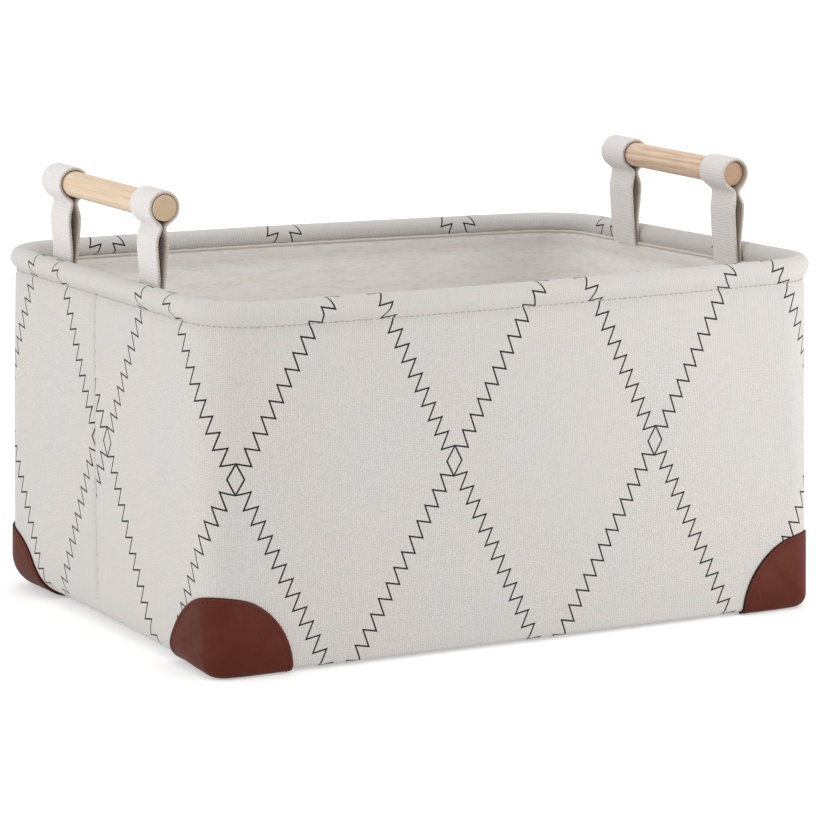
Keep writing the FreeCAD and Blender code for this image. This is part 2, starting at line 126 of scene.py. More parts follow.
class Ring:
    """A rounded rectangle with two bowed long sides, sized in millimetres; the values may be arrays."""

    def __init__(self, half_length, half_width, corner, bow):
        self.a, self.b, self.r = half_length, half_width, corner
        chord = half_length - corner
        self.bow_radius = (chord ** 2 + bow ** 2) / (2 * bow)
        self.bow_centre = half_width - self.bow_radius
        self.corner_y = self.bow_centre + np.sqrt((self.bow_radius - corner) ** 2 - chord ** 2)
        self.lean = np.arctan2(self.corner_y - self.bow_centre, chord)
        self.bow_length = self.bow_radius * (np.pi / 2 - self.lean)
        self.corner_length = corner * self.lean

    def length(self, seam):
        """From the middle of a long side to an end seam that lies that far past the middle of the end."""
        return self.bow_length + self.corner_length + self.corner_y + seam

    def at(self, distance, side):
        """Point and outward normal at a signed distance from the middle of the front (-1) or back (1)."""
        d = np.abs(distance)
        sign = np.where(np.asarray(distance) < 0, -1.0, 1.0)
        turn = np.pi / 2 - d / self.bow_radius
        angle = np.clip(self.lean - (d - self.bow_length) / self.r, 0, self.lean)
        down = np.maximum(d - self.bow_length - self.corner_length, 0)
        on_bow = d <= self.bow_length
        x = np.where(on_bow, self.bow_radius * np.cos(turn), self.a - self.r + self.r * np.cos(angle))
        y = np.where(on_bow, self.bow_centre + self.bow_radius * np.sin(turn),
                     self.corner_y + self.r * np.sin(angle) - down)
        nx = np.where(on_bow, np.cos(turn), np.cos(angle))
        ny = np.where(on_bow, np.sin(turn), np.sin(angle))
        return np.stack([x * sign, y * side], -1), np.stack([nx * sign, ny * side], -1)


BASE = dict(half_length=BASE_HALF[0], half_width=BASE_HALF[1], bow=1.0)
BASE_CORNER = {-1: 11.0, 1: 20.0}
HEM = dict(half_length=204.0, half_width=150.5, corner=37.0, bow=5.5)
RIM = dict(half_length=ROLL_HIGH.x / MM - ROLL_RADIUS, half_width=-ROLL_LOW.y / MM - ROLL_RADIUS,
           corner=36.0, bow=6.5)
HEM_HEIGHT = 197.0
MIDDLE_HEIGHT = 100.0
CORNER_REACH = 205.0       # along the cloth from the middle of a long side to its corner
SAG_START, SAG_SPAN = 110.0, 90.0     # height from which the wall follows the bent rim, and over how much
TUCK = 7.0                 # how far the panels' lower edges lie under the base
HEM_RISE = 7.0             # cloth between the stitch line and the roll
INNER_HEM, INNER_TAIL = 3.4, 9.6      # cloth past the roll: to the piping, and to the hidden tail


def ring_at(height, side):
    """The wall's outline at a height, or at an array of heights; the front corners are the tighter ones."""
    t = np.clip((np.asarray(height, float) - LEATHER) / (HEM_HEIGHT - LEATHER), 0, 1.02)
    low = dict(BASE, corner=BASE_CORNER[side])
    grown = {k: low[k] + (HEM[k] - low[k]) * t for k in low}
    return Ring(grown["half_length"], grown["half_width"], grown["corner"], grown["bow"])


def seam_of(side):
    """The end seams lie behind the middle, so the front panel is the longer one."""
    return -side * shape().seam / MM


def panel_length(side):
    return float(ring_at(MIDDLE_HEIGHT, side).length(seam_of(side)))


def curl_radius(fraction, side):
    """Radius of the cloth's turn into the base: tight in front, soft and wide under the ends."""
    share = np.abs(fraction)
    if side < 0:
        return np.interp(share, (0.0, 0.52, 0.60, 0.70, 1.0), (3.4, 3.4, 6.5, 12.0, 15.0))
    return np.interp(share, (0.0, 0.50, 0.60, 0.80, 1.0), (6.0, 12.0, 19.0, 18.5, 15.0))


def ground_lift(fraction):
    """How far the cloth's underside stays off the ground."""
    share = np.abs(fraction)
    raised = 0.9 * np.sin(np.pi / 2 * np.clip((share - 0.62) / 0.38, 0, 1)) ** 2
    return LEATHER + raised - 0.3 * (share < 0.4)


def end_share(fraction, side):
    """0 on the long side and at the corners, 1 at the middle of a short end."""
    past = (np.abs(fraction) * panel_length(side) - CORNER_REACH) / (panel_length(side) - CORNER_REACH)
    return np.sin(np.pi / 2 * np.clip(past, 0, 1)) ** 2


def curl_inset(fraction, side, height):
    """How far the curled lower edge has pulled the wall inwards at a height."""
    radius = curl_radius(fraction, side)
    left = np.clip(radius - (height - ground_lift(fraction)), 0, radius)
    return radius - np.sqrt(radius ** 2 - left ** 2)


def ripple(u, v, seed):
    """Slow, shallow unevenness of stretched cloth, between 0 and 1."""
    total = 0.0
    rng = np.random.RandomState(seed)
    for i in range(9):
        du, dv = rng.uniform(-1, 1, 2) * (0.012 + 0.006 * i)
        total = total + np.sin(u * du * 2 + v * dv + rng.uniform(0, 6.28)) / (1 + 0.35 * i)
    return 0.5 + 0.5 * np.tanh(total * 0.6)


def puckers(u, seed):
    """Short uneven waves along a sewn line, between -1 and 1."""
    rng = np.random.RandomState(seed)
    waves = [np.sin(u * 2 * np.pi / rng.uniform(6, 19) + rng.uniform(0, 6.28)) for _ in range(5)]
    return sum(waves) / 5


def bump_at(x, centre, width):
    return np.exp(-((x - centre) / width) ** 2)


def wall_point(fraction, height, side, out):
    """A point that lies a distance outside the wall's outline at a height."""
    ring = ring_at(height, side)
    flat, normal = ring.at(fraction * ring.length(seam_of(side)), side)
    place = flat + normal * np.expand_dims(out, -1)
    return np.concatenate([place, np.broadcast_to(np.expand_dims(height, -1), place.shape[:-1] + (1,))], -1)


def rim_warp(points):
    """The wired rim isn't flat: it stands a little high at one front corner and sags along the back."""
    x, y = points[..., 0] / 208, points[..., 1] / 153
    lift = -1.0 - 0.1 * x - 2.4 * y - 1.5 * x * y
    weight = np.clip((points[..., 2] - SAG_START) / SAG_SPAN, 0, 1) ** 2
    points = points.copy()
    points[..., 2] += lift * weight
    return points


def canvas_surface(fraction, side):
    """Points of one outer panel on its printed face, as rows from the base tuck to the inner hem.

    Returns the grid of points and each point's place along the cloth, both in millimetres.
    """
    seam = seam_of(side)
    u = fraction * panel_length(side)
    ends = end_share(fraction, side)
    to_seam = panel_length(side) - np.abs(u)
    seam_dip = -0.75 * bump_at(to_seam, 0, 1.8) + 0.35 * bump_at(to_seam, 4.5, 2.2)
    seam_dip = seam_dip - 1.3 * np.clip(-to_seam, 0, 1)
    calm = 1 - bump_at(to_seam, 0, 12)
    rows, lengths = [], []

    # base tuck and lower edge: tight under the long sides, rounder under the ends
    edge = curl_radius(fraction, side)
    ground = ground_lift(fraction)
    foot = ground + edge - edge * np.pi / 2
    for share in (1.0, 0.5):
        rows.append(wall_point(fraction, np.full_like(u, LEATHER), side, -edge - TUCK * share))
        rows[-1][:, 2] = ground
        lengths.append(foot - TUCK * share)
    for angle in np.linspace(0, np.pi / 2, 15)[:-1]:
        inset = edge * (1 - math.sin(angle))
        height = ground + edge * (1 - math.cos(angle))
        rows.append(wall_point(fraction, height, side, -inset))
        lengths.append(foot + edge * angle)

    # wall up to the stitch line
    lowest = ground + edge
    for step in np.concatenate([np.linspace(0, 0.93, 54), np.linspace(0.94, 1, 9)]):
        height = lowest + (HEM_HEIGHT - lowest) * step
        belly = np.sin(np.pi * np.clip(height / HEM_HEIGHT, 0, 1))
        out = belly * (0.6 + 0.6 * ends) + (ripple(u, height, 11 + side) - 0.5) * belly * calm
        out = out - 1.15 * bump_at(height, HEM_HEIGHT, 2.2) * (1 + 0.25 * puckers(u, 5) * calm)
        out = out + 0.35 * bump_at(height, HEM_HEIGHT - 6, 4) * puckers(u, 8) * calm + seam_dip
        rows.append(wall_point(fraction, height, side, out))
        lengths.append(height)

    # rolled rim: from the stitch line out and over the wire
    stitch_row = rows[-1]
    rim = Ring(**RIM)
    flat, normal = rim.at(fraction * rim.length(seam), side)
    wobble = 1 + 0.018 * puckers(u, 21) * calm

    def on_roll(angle):
        swell = ROLL_RADIUS * wobble + 0.35 * seam_dip
        place = flat + normal * np.expand_dims(swell * math.cos(angle), -1)
        height = ROLL_CENTRE + np.minimum(swell, ROLL_RADIUS) * math.sin(angle)
        return np.concatenate([place, np.expand_dims(height, -1)], -1)

    start, end = math.radians(-18), math.radians(200)
    first = on_roll(start)
    lead = np.concatenate([normal * -math.sin(start), np.full((len(u), 1), math.cos(start))], -1)
    span = np.linalg.norm(first - stitch_row, axis=1, keepdims=True)
    for t in np.linspace(0, 1, 8)[1:-1]:
        # weights of the two ends and of their directions on a smooth curve
        from_place, from_way = 2 * t ** 3 - 3 * t ** 2 + 1, t ** 3 - 2 * t ** 2 + t
        to_place, to_way = -2 * t ** 3 + 3 * t ** 2, t ** 3 - t ** 2
        up = np.concatenate([normal * 0.55, np.full((len(u), 1), 0.83)], -1)
        rows.append(from_place * stitch_row + from_way * up * span
                    + to_place * first + to_way * lead * span)
        lengths.append(HEM_HEIGHT + HEM_RISE * t)
    for angle in np.linspace(start, end, 26):
        rows.append(on_roll(angle))
        lengths.append(HEM_HEIGHT + HEM_RISE + ROLL_RADIUS * (angle - start))

    # inner hem, down behind the lining's folded edge
    last, reach = rows[-1], lengths[-1]
    inward = np.full_like(u, -7.4) + 0.3 * puckers(u, 31) * calm
    foot = wall_point(fraction, np.full_like(u, 199.2), side, inward)
    tail = wall_point(fraction, np.full_like(u, 194.0), side, np.full_like(u, -4.4))
    for share in (0.3, 0.6, 0.85, 1.0):
        rows.append(last + (foot - last) * share)
        lengths.append(reach + INNER_HEM * share)
    rows.append(tail)
    lengths.append(reach + INNER_TAIL)
    grid = np.stack(rows)
    return rim_warp(grid), np.stack([np.broadcast_to(v, u.shape) for v in lengths])


# ---------------------------------------------------------------- mesh helpers

def grid_normals(grid, flip=False):
    along = np.gradient(grid, axis=1)
    across = np.gradient(grid, axis=0)
    normal = np.cross(along, across)
    length = np.linalg.norm(normal, axis=-1, keepdims=True)
    normal = normal / np.maximum(length, 1e-9)
    return -normal if flip else normal


def grid_faces(rows, columns, start=0, closed=False, flip=False):
    faces = []
    wide = columns if closed else columns - 1
    for i in range(rows - 1):
        for j in range(wide):
            k = (j + 1) % columns
            quad = (start + i * columns + j, start + i * columns + k,
                    start + (i + 1) * columns + k, start + (i + 1) * columns + j)
            faces.append(quad[::-1] if flip else quad)
    return faces


def make_object(name, points, faces, material, uv=None, smooth=True):
    """A mesh object from points in millimetres; uv holds one pair, in metres, for every point."""
    mesh = bpy.data.meshes.new(name)
    mesh.from_pydata([tuple(p) for p in np.asarray(points, float) * MM], [], faces)
    mesh.materials.append(material)
    if uv is not None:
        layer = mesh.uv_layers.new(name="cloth")
        index = np.zeros(len(mesh.loops), int)
        mesh.loops.foreach_get("vertex_index", index)
        layer.data.foreach_set("uv", np.asarray(uv, float)[index].ravel())
    mesh.polygons.foreach_set("use_smooth", [smooth] * len(mesh.polygons))
    mesh.update()
    thing = bpy.data.objects.new(name, mesh)
    bpy.context.scene.collection.objects.link(thing)
    return thing


def shell(grid, thickness, uv, flip=False, closed=False):
    """A closed sheet: the grid is its outer face, and the other face lies a thickness behind it."""
    rows, columns = grid.shape[:2]
    if closed:
        wide = np.concatenate([grid[:, -1:], grid, grid[:, :1]], 1)
        normal = grid_normals(wide, flip)[:, 1:-1]
    else:
        normal = grid_normals(grid, flip)
    inner = grid - normal * thickness
    count = rows * columns
    points = np.concatenate([grid.reshape(-1, 3), inner.reshape(-1, 3)])
    faces = grid_faces(rows, columns, 0, closed, flip) + grid_faces(rows, columns, count, closed, not flip)
    border = []
    for j in range(columns if closed else columns - 1):
        k = (j + 1) % columns
        border.append((j, k))
        border.append(((rows - 1) * columns + k, (rows - 1) * columns + j))
    if not closed:
        for i in range(rows - 1):
            border.append(((i + 1) * columns, i * columns))
            border.append((i * columns + columns - 1, (i + 1) * columns + columns - 1))
    for a, b in border:
        quad = (b, a, a + count, b + count)
        faces.append(quad[::-1] if flip else quad)
    both = np.concatenate([uv.reshape(-1, 2), uv.reshape(-1, 2)])
    return points, faces, both


def finish_piece(thing, body, slot, *nodes):
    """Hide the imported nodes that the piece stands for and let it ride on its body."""
    if nodes:
        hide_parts(*nodes)
    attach(thing, body)
    return thing


def recalculate(thing, merge=True):
    """Point every face of a closed mesh outwards, after merging its doubled points."""
    mesh = bmesh.new()
    mesh.from_mesh(thing.data)
    if merge:
        bmesh.ops.remove_doubles(mesh, verts=mesh.verts, dist=1e-6)
    bmesh.ops.recalc_face_normals(mesh, faces=mesh.faces)
    mesh.to_mesh(thing.data)
    mesh.free()


def point_values(thing, name, values):
    """Store one number for every point, for the materials to read."""
    attribute = thing.data.attributes.new(name, "FLOAT", "POINT")
    attribute.data.foreach_set("value", np.asarray(values).astype(np.float32))


# ---------------------------------------------------------------- shader helpers

def put(tree, socket, value):
    if isinstance(value, Value):
        tree.links.new(value.socket, socket)
    elif hasattr(value, "__len__") and len(value) == 3 and socket.type == "RGBA":
        socket.default_value = (*value, 1.0)
    else:
        socket.default_value = value


class Value:
    """A node's output that can be used in arithmetic."""

    def __init__(self, tree, socket):
        self.tree, self.socket = tree, socket

    def math(self, operation, *terms):
        node = self.tree.nodes.new("ShaderNodeMath")
        node.operation = operation
        for socket, term in zip(node.inputs, terms):
            put(self.tree, socket, term)
        return Value(self.tree, node.outputs[0])

    def __add__(self, other):
        return self.math("ADD", self, other)

    def __radd__(self, other):
        return self.math("ADD", other, self)

    def __sub__(self, other):
        return self.math("SUBTRACT", self, other)

    def __rsub__(self, other):
        return self.math("SUBTRACT", other, self)

    def __mul__(self, other):
        return self.math("MULTIPLY", self, other)

    def __rmul__(self, other):
        return self.math("MULTIPLY", other, self)

    def __truediv__(self, other):
        return self.math("DIVIDE", self, other)

    def __gt__(self, other):
        return self.math("GREATER_THAN", self, other)

    def __lt__(self, other):
        return self.math("LESS_THAN", self, other)

    def __abs__(self):
        return self.math("ABSOLUTE", self)

    def min(self, other):
        return self.math("MINIMUM", self, other)

    def max(self, other):
        return self.math("MAXIMUM", self, other)

    def sine(self):
        return self.math("SINE", self)

    def root(self):
        return self.math("SQRT", self)

    def pingpong(self, scale):
        return self.math("PINGPONG", self, scale)

    def wrap(self, high, low):
        return self.math("WRAP", self, high, low)


class Paint:
    """A material whose nodes are made one at a time."""

    def __init__(self, name):
        self.material = bpy.data.materials.new(name)
        self.material.use_nodes = True
        self.tree = self.material.node_tree
        self.shader = self.tree.nodes["Principled BSDF"]

    def make(self, kind, settings=None, inputs=None, output=0):
        """Add a node: its settings first, then its sockets, and give back one output."""
        node = self.tree.nodes.new(kind)
        for key, value in (settings or {}).items():
            setattr(node, key, value)
        for key, value in (inputs or {}).items():
            put(self.tree, node.inputs[key], value)
        return Value(self.tree, node.outputs[output])

    def split(self, vector):
        return [self.make("ShaderNodeSeparateXYZ", inputs={0: vector}, output=i) for i in range(3)]

    def join(self, x, y, z=0.0):
        return self.make("ShaderNodeCombineXYZ", inputs={0: x, 1: y, 2: z})

    def uv(self, name):
        return self.make("ShaderNodeUVMap", {"uv_map": name})

    def place(self):
        return self.make("ShaderNodeTexCoord", output="Object")

    def attribute(self, name):
        return self.make("ShaderNodeAttribute", {"attribute_name": name}, output="Fac")

    def noise(self, vector, scale, detail=2.0, roughness=0.5):
        return self.make("ShaderNodeTexNoise", inputs={"Vector": vector, "Scale": scale, "Detail": detail,
                                                       "Roughness": roughness}, output="Fac")

    def fade(self, value, start, end, low=0.0, high=1.0):
        """Map value from start..end to low..high, smoothly and clamped."""
        return self.make("ShaderNodeMapRange", {"interpolation_type": "SMOOTHSTEP"},
                         {"Value": value, "From Min": start, "From Max": end,
                          "To Min": low, "To Max": high})

    def mix(self, share, first, second):
        return self.make("ShaderNodeMix", {"data_type": "RGBA"}, {0: share, 6: first, 7: second}, output=2)

    def shade(self, colour, amount):
        """Multiply a colour by a grey amount."""
        grey = self.make("ShaderNodeCombineColor", inputs={0: amount, 1: amount, 2: amount})
        return self.make("ShaderNodeMix", {"data_type": "RGBA", "blend_type": "MULTIPLY"},
                         {0: 1.0, 6: colour, 7: grey}, output=2)

    def set(self, name, value):
        put(self.tree, self.shader.inputs[name], value)

    def bump(self, height, strength, distance):
        normal = self.make("ShaderNodeBump",
                           inputs={"Strength": strength, "Distance": distance, "Height": height})
        self.set("Normal", normal)


# ---------------------------------------------------------------- materials

PRINT_PITCH = 136.0        # between neighbouring crossings along the cloth
PRINT_MIDDLE = 113.0       # height of the row of crossings
DIAMOND = (4.8, 8.8)       # half sizes of the small diamond at a crossing
TOOTH_WIDTH, TOOTH_DROP, TOOTH_STEP, TEETH = 8.65, 1.64, 8.6, 13
LINE_HALF, LINE_SOFT = 0.50, 0.10
FRONT_PRINT_START = 53.4   # where the pattern starts on the front panel and the base
BACK_PRINT_START, BACK_PRINT_PITCH = 2.0, 127.4
WARP_PITCH, WEFT_PITCH = 1.28, 1.04
PER_METRE = 1000.0         # the UV maps are in metres, the patterns in millimetres


def print_mask(paint, u, v):
    """1 on the zigzag lines: two mirrored rows of teeth cross at small diamonds."""
    half = PRINT_PITCH / 2
    wide, tall = DIAMOND
    rise = 2 * tall - TOOTH_DROP + TEETH * TOOTH_STEP
    x = u.pingpong(half)
    z = (v - PRINT_MIDDLE).pingpong(rise)
    upper = z > rise / 2
    x = x + upper * (half - 2 * x)
    z = z + upper * (rise - 2 * z) - tall
    net = (half - TOOTH_WIDTH) / TEETH
    period = math.hypot(net, TOOTH_STEP)
    ax, az = net / period, TOOTH_STEP / period
    along = x * ax + z * az
    across = x * az - z * ax
    flat_along = TOOTH_WIDTH * ax - TOOTH_DROP * az
    flat_across = TOOTH_WIDTH * az + TOOTH_DROP * ax
    steep_along = period - flat_along
    t = along.wrap(period - steep_along / 2, -steep_along / 2)
    flat_slope, steep_slope = flat_across / flat_along, -flat_across / steep_along
    flat_scale = 1 / math.hypot(1, flat_slope)
    steep_scale = 1 / math.hypot(1, steep_slope)
    before = (across - t * steep_slope) * steep_scale
    flat = (across - t * flat_slope) * flat_scale
    after = (across - flat_across - (t - flat_along) * steep_slope) * steep_scale
    teeth = abs(before.min(flat).max(after))
    diamond = abs((x * tall + (z + tall) * wide - wide * tall) / math.hypot(wide, tall))
    start = along < 0
    gap = teeth + start * (diamond - teeth)
    ragged = paint.noise(paint.join(u, v), 1.1, 2.0) - 0.5
    return paint.fade(gap + ragged * 0.22, LINE_HALF - LINE_SOFT, LINE_HALF + LINE_SOFT, 1.0, 0.0)


def weave(paint, u, v):
    """Height of a ribbed plain weave: raised warp ribs crossed by thinner weft."""
    warp = (u * (2 * np.pi / WARP_PITCH)).sine()
    weft = (v * (2 * np.pi / WEFT_PITCH)).sine()
    slub = paint.noise(paint.join(u * 0.9, v * 0.06), 1.0, 3.0)
    fuzz = paint.noise(paint.join(u, v), 2.0, 3.0)
    return warp * 0.55 + weft * 0.25 + warp * weft * 0.5 + slub * 0.9 + fuzz * 0.9


def canvas_material(printed=True):
    paint = Paint("printed_canvas" if printed else "plain_canvas")
    u, v, _ = paint.split(paint.uv("cloth"))
    u, v = u * PER_METRE, v * PER_METRE
    height = weave(paint, u, v)
    slow = paint.noise(paint.join(u * 0.02, v * 0.012), 1.0, 3.0)
    streak = paint.noise(paint.join(u * 0.75, v * 0.018), 1.0, 2.0)
    speck = paint.noise(paint.join(u * 0.8, v * 0.5), 1.0, 4.0, 0.7)
    tone = 0.86 + slow * 0.06 + streak * 0.05 + speck * 0.06 + height * 0.055
    warm = [c * f for c, f in zip(finish().canvas, (1.0, 0.985, 0.955))]
    base = tuple(finish().canvas)
    if not printed:
        warm = [c * f for c, f in zip(base, (1.18, 1.14, 1.04))]
        base = [c * f for c, f in zip(base, (1.2, 1.17, 1.08))]
    cloth = paint.mix(paint.fade(slow, 0.35, 0.65), tuple(base), tuple(warm))
    colour = paint.shade(cloth, tone)
    if printed:
        mask = print_mask(paint, u, v)
        worn = 0.97 + height * 0.03
        colour = paint.mix(mask * worn.min(1.0), colour, tuple(finish().print))
    paint.set("Base Color", colour)
    paint.set("Roughness", 0.92)
    paint.set("Specular IOR Level", 0.22)
    paint.set("Sheen Weight", 0.12)
    paint.bump(height, 0.8, 0.00026)
    return paint.material


def lining_material():
    paint = Paint("heathered_lining")
    u, v, _ = paint.split(paint.uv("cloth"))
    u, v = u * PER_METRE, v * PER_METRE
    fibres = paint.noise(paint.join(u * 0.16, v * 0.85), 1.0, 4.0, 0.65)
    clumps = paint.noise(paint.join(u * 0.05, v * 0.22), 1.0, 3.0, 0.6)
    grain = paint.noise(paint.join(u, v), 1.7, 3.0, 0.7)
    light = tuple(finish().lining)
    dark = tuple(c * f for c, f in zip(light, (0.87, 0.865, 0.86)))
    colour = paint.mix(paint.fade(fibres * 0.6 + clumps * 0.4, 0.34, 0.56), dark, light)
    paint.set("Base Color", paint.shade(colour, 0.88 + grain * 0.22))
    paint.set("Roughness", 0.95)
    paint.set("Specular IOR Level", 0.18)
    paint.bump(fibres + grain * 0.7, 0.5, 0.0004)
    return paint.material


def leather_material():
    paint = Paint("smooth_leather")
    place = paint.place()
    rim = paint.attribute("edge")
    cloudy = paint.noise(place, 38.0, 3.0)
    pores = paint.make("ShaderNodeTexVoronoi", {"feature": "F1"}, {"Vector": place, "Scale": 1500.0})
    crease = paint.noise(place, 420.0, 5.0, 0.65)
    base = tuple(finish().leather)
    light = tuple(min(c * 1.28 + 0.006, 1.0) for c in base)
    dark = tuple(c * 0.34 for c in base)
    colour = paint.mix(paint.fade(cloudy, 0.3, 0.7), base, light)
    colour = paint.mix(paint.fade(crease, 0.42, 0.75) * 0.22, colour, tuple(c * 0.6 for c in base))
    colour = paint.mix(paint.fade(rim, 0.2, 0.9), colour, dark)
    paint.set("Base Color", colour)
    paint.set("Roughness", 0.48 + crease * 0.16)
    paint.set("Specular IOR Level", 0.12)
    paint.bump(crease * 0.7 + pores * 0.5, 0.35, 0.00022)
    return paint.material


def webbing_material():
    paint = Paint("cotton_webbing")
    u, v, _ = paint.split(paint.uv("cloth"))
    u, v = u * PER_METRE, v * PER_METRE
    side = paint.attribute("selvedge")
    rib = (u * (2 * np.pi * MM / shape().rib)).sine()
    strand = (v * (2 * np.pi / 0.62)).sine()
    fuzz = paint.noise(paint.join(u, v), 1.9, 3.0, 0.7)
    tone = 0.88 + rib * 0.05 + strand * 0.02 + fuzz * 0.16
    beige = tuple(c * f for c, f in zip(finish().webbing, (0.62, 0.50, 0.37)))
    painted_inner_shade = tuple(c * f for c, f in zip(finish().webbing, (0.60, 0.50, 0.40)))
    speck = paint.fade(paint.noise(paint.join(u, v), 0.9, 2.0) - rib * 0.05, 0.42, 0.60)
    colour = paint.mix(side * (0.10 + speck * 0.62), tuple(finish().webbing), beige)
    # The loops' inner face, between the legs and round the dowel, is painted darker and browner: painted
    # shade in the slit between the legs.
    colour = paint.mix((v > 15.0) * (0.45 + fuzz * 0.5), colour, painted_inner_shade)
    paint.set("Base Color", paint.shade(colour, tone))
    paint.set("Roughness", 0.93)
    paint.set("Specular IOR Level", 0.2)
    paint.set("Sheen Weight", 0.1)
    paint.bump(rib * strand * 0.3 + fuzz * 0.8 + strand * 0.4, 0.5, 0.00025)
    return paint.material


def wood_material(name, pale, grain, pith, bend):
    """Sanded wood whose growth rings run round a pith line parallel to Y, outside or inside the bar."""
    paint = Paint(name)
    x, y, z = paint.split(paint.place())
    wander = paint.noise(paint.join(x * 60.0, y * 7.0, z * 60.0), 1.0, 2.0)
    rx = x - pith[0] + (wander - 0.5) * bend
    rz = z - pith[1] + y * 0.02
    rings = (rx * rx + rz * rz).root() * PER_METRE
    warped = rings * 0.42 + paint.noise(paint.join(x * 130.0, y * 9.0, z * 130.0), 1.0, 2.0) * 1.3
    line = paint.noise(paint.join(warped * 1.6, y * 3.0), 1.0, 2.0)
    fibre = paint.noise(paint.join(x * 900.0, y * 42.0, z * 900.0), 1.0, 3.0, 0.6)
    pore = paint.fade(paint.noise(paint.join(x * 1900.0, y * 90.0, z * 1900.0), 1.0, 2.0), 0.60, 0.74)
    colour = paint.mix(paint.fade(line * 0.55 + fibre * 0.45, 0.38, 0.70) * 0.85, pale, grain)
    colour = paint.mix(pore * 0.4, colour, tuple(c * 0.6 for c in grain))
    end = paint.attribute("end_grain")
    speck = paint.noise(paint.place(), 1300.0, 3.0, 0.7)
    colour = paint.mix(end * 0.85, colour, tuple(c * 1.22 for c in grain))
    colour = paint.shade(colour, 1.0 - end * (speck * 0.44))
    paint.set("Base Color", colour)
    paint.set("Roughness", 0.50 + fibre * 0.15)
    paint.set("Specular IOR Level", 0.35)
    paint.bump(fibre + line * 0.3 - pore, 0.25, 0.0003)
    return paint.material


def thread_material(name, colour):
    paint = Paint(name)
    place = paint.place()
    twist = paint.noise(place, 2200.0, 2.0)
    paint.set("Base Color", paint.shade(tuple(colour), 0.82 + twist * 0.34))
    paint.set("Roughness", 0.8)
    paint.bump(twist, 0.4, 0.0001)
    return paint.material


def hidden_material(name, colour, metallic, roughness, scale):
    """Foam, board and wire, which are mostly out of sight."""
    paint = Paint(name)
    place = paint.place()
    grain = paint.noise(place, scale, 3.0)
    paint.set("Base Color", paint.shade(colour, 0.88 + grain * 0.24))
    paint.set("Roughness", roughness + grain * 0.12)
    paint.set("Metallic", metallic)
    paint.bump(grain, 0.3, 0.0002)
    return paint.material


# ---------------------------------------------------------------- pieces

COLUMNS = 230


def panel_fractions(side):
    """Columns closer together round the corners, where the cloth bends."""
    u = np.linspace(-1, 1, 4001)
    corner = CORNER_REACH / panel_length(side)
    density = 1 + 1.7 * bump_at(np.abs(u), corner, 0.09) + 1.5 * bump_at(np.abs(u), 1.0, 0.02)
    total = np.concatenate([[0], np.cumsum((density[1:] + density[:-1]) / 2)])
    fraction = np.interp(np.linspace(0, total[-1], COLUMNS), total, u)
    if side > 0:
        tail = 1 + np.array([0.6, 1.3, 2.2]) / panel_length(side)
        fraction = np.concatenate([-tail[::-1], fraction, tail])
    return fraction


class BIN_OT_canvas(bpy.types.Operator):
    """Build the two printed outer panels with their rolled rim, and the canvas of the base"""
    bl_idname = "storage_bin.canvas"
    bl_label = "Canvas"

    def execute(self, context):
        cloth = shape().cloth / MM
        printed = canvas_material()
        for side, name, node in ((-1, "front_canvas", "outer_front_panel"),
                                 (1, "back_canvas", "outer_back_panel")):
            fraction = panel_fractions(side)
            grid, lengths = canvas_surface(fraction, side)
            if side < 0:
                across = fraction * panel_length(side) + FRONT_PRINT_START
            else:
                from_seam = (fraction + 1) * panel_length(side) + BACK_PRINT_START
                across = from_seam * PRINT_PITCH / BACK_PRINT_PITCH
            uv = np.stack(np.broadcast_arrays(across[None, :], lengths), -1) * MM
            points, faces, both = shell(grid, cloth, uv, flip=side > 0)
            panel = make_object(name, points, faces, printed, both)
            finish_piece(panel, "bin", "canvas", node)
            width = 2 * panel_length(side) * MM
            tall = float((lengths[-1] - lengths[0]).mean()) * MM
        self.base(printed, cloth)
        return {"FINISHED"}

    def base(self, material, cloth):
        """The canvas under the board, sewn to the panels' tucked edges."""
        turns, steps = 220, 26
        grid = np.zeros((steps, turns, 3))
        angle = np.linspace(0, 1, turns, endpoint=False)
        edge = []
        for a in angle:
            side = -1 if a < 0.5 else 1
            fraction = (a * 4 - 1) if side < 0 else (3 - a * 4)
            inset = float(curl_radius(fraction, side)) + TUCK
            point = wall_point(np.array(fraction), np.array(LEATHER), side, np.array(-inset))
            edge.append((point[0], point[1], float(ground_lift(fraction))))
        edge = np.array(edge)
        for i in range(steps):
            share = max(1 - (i / (steps - 1)) ** 0.8, 0.0)
            grid[i, :, :2] = edge[:, :2] * share
            sag = 0.35 * (1 - share ** 4)
            grid[i, :, 2] = edge[:, 2] * share ** 2 + (LEATHER + 0.3) * (1 - share ** 2) - sag
        uv = grid[:, :, :2] * MM + np.array([FRONT_PRINT_START, 150.0]) * MM
        points, faces, both = shell(grid[:-1], cloth, uv, flip=False, closed=True)
        count = (steps - 1) * turns
        centre = grid[-1, 0]
        inner = (steps - 2) * turns
        points = np.concatenate([points, [centre], [centre + np.array([0, 0, cloth])]])
        both = np.concatenate([both, [uv[-1, 0]], [uv[-1, 0]]])
        kept = [f for f in faces if not (all(v % count >= inner for v in f))]
        hub = len(points) - 2
        for j in range(turns):
            k = (j + 1) % turns
            kept.append((inner + j, inner + k, hub))
            kept.append((count + inner + k, count + inner + j, hub + 1))
        base = make_object("base_canvas", points, kept, material, both)
        recalculate(base)
        finish_piece(base, "bin", "canvas", "outer_base_panel")


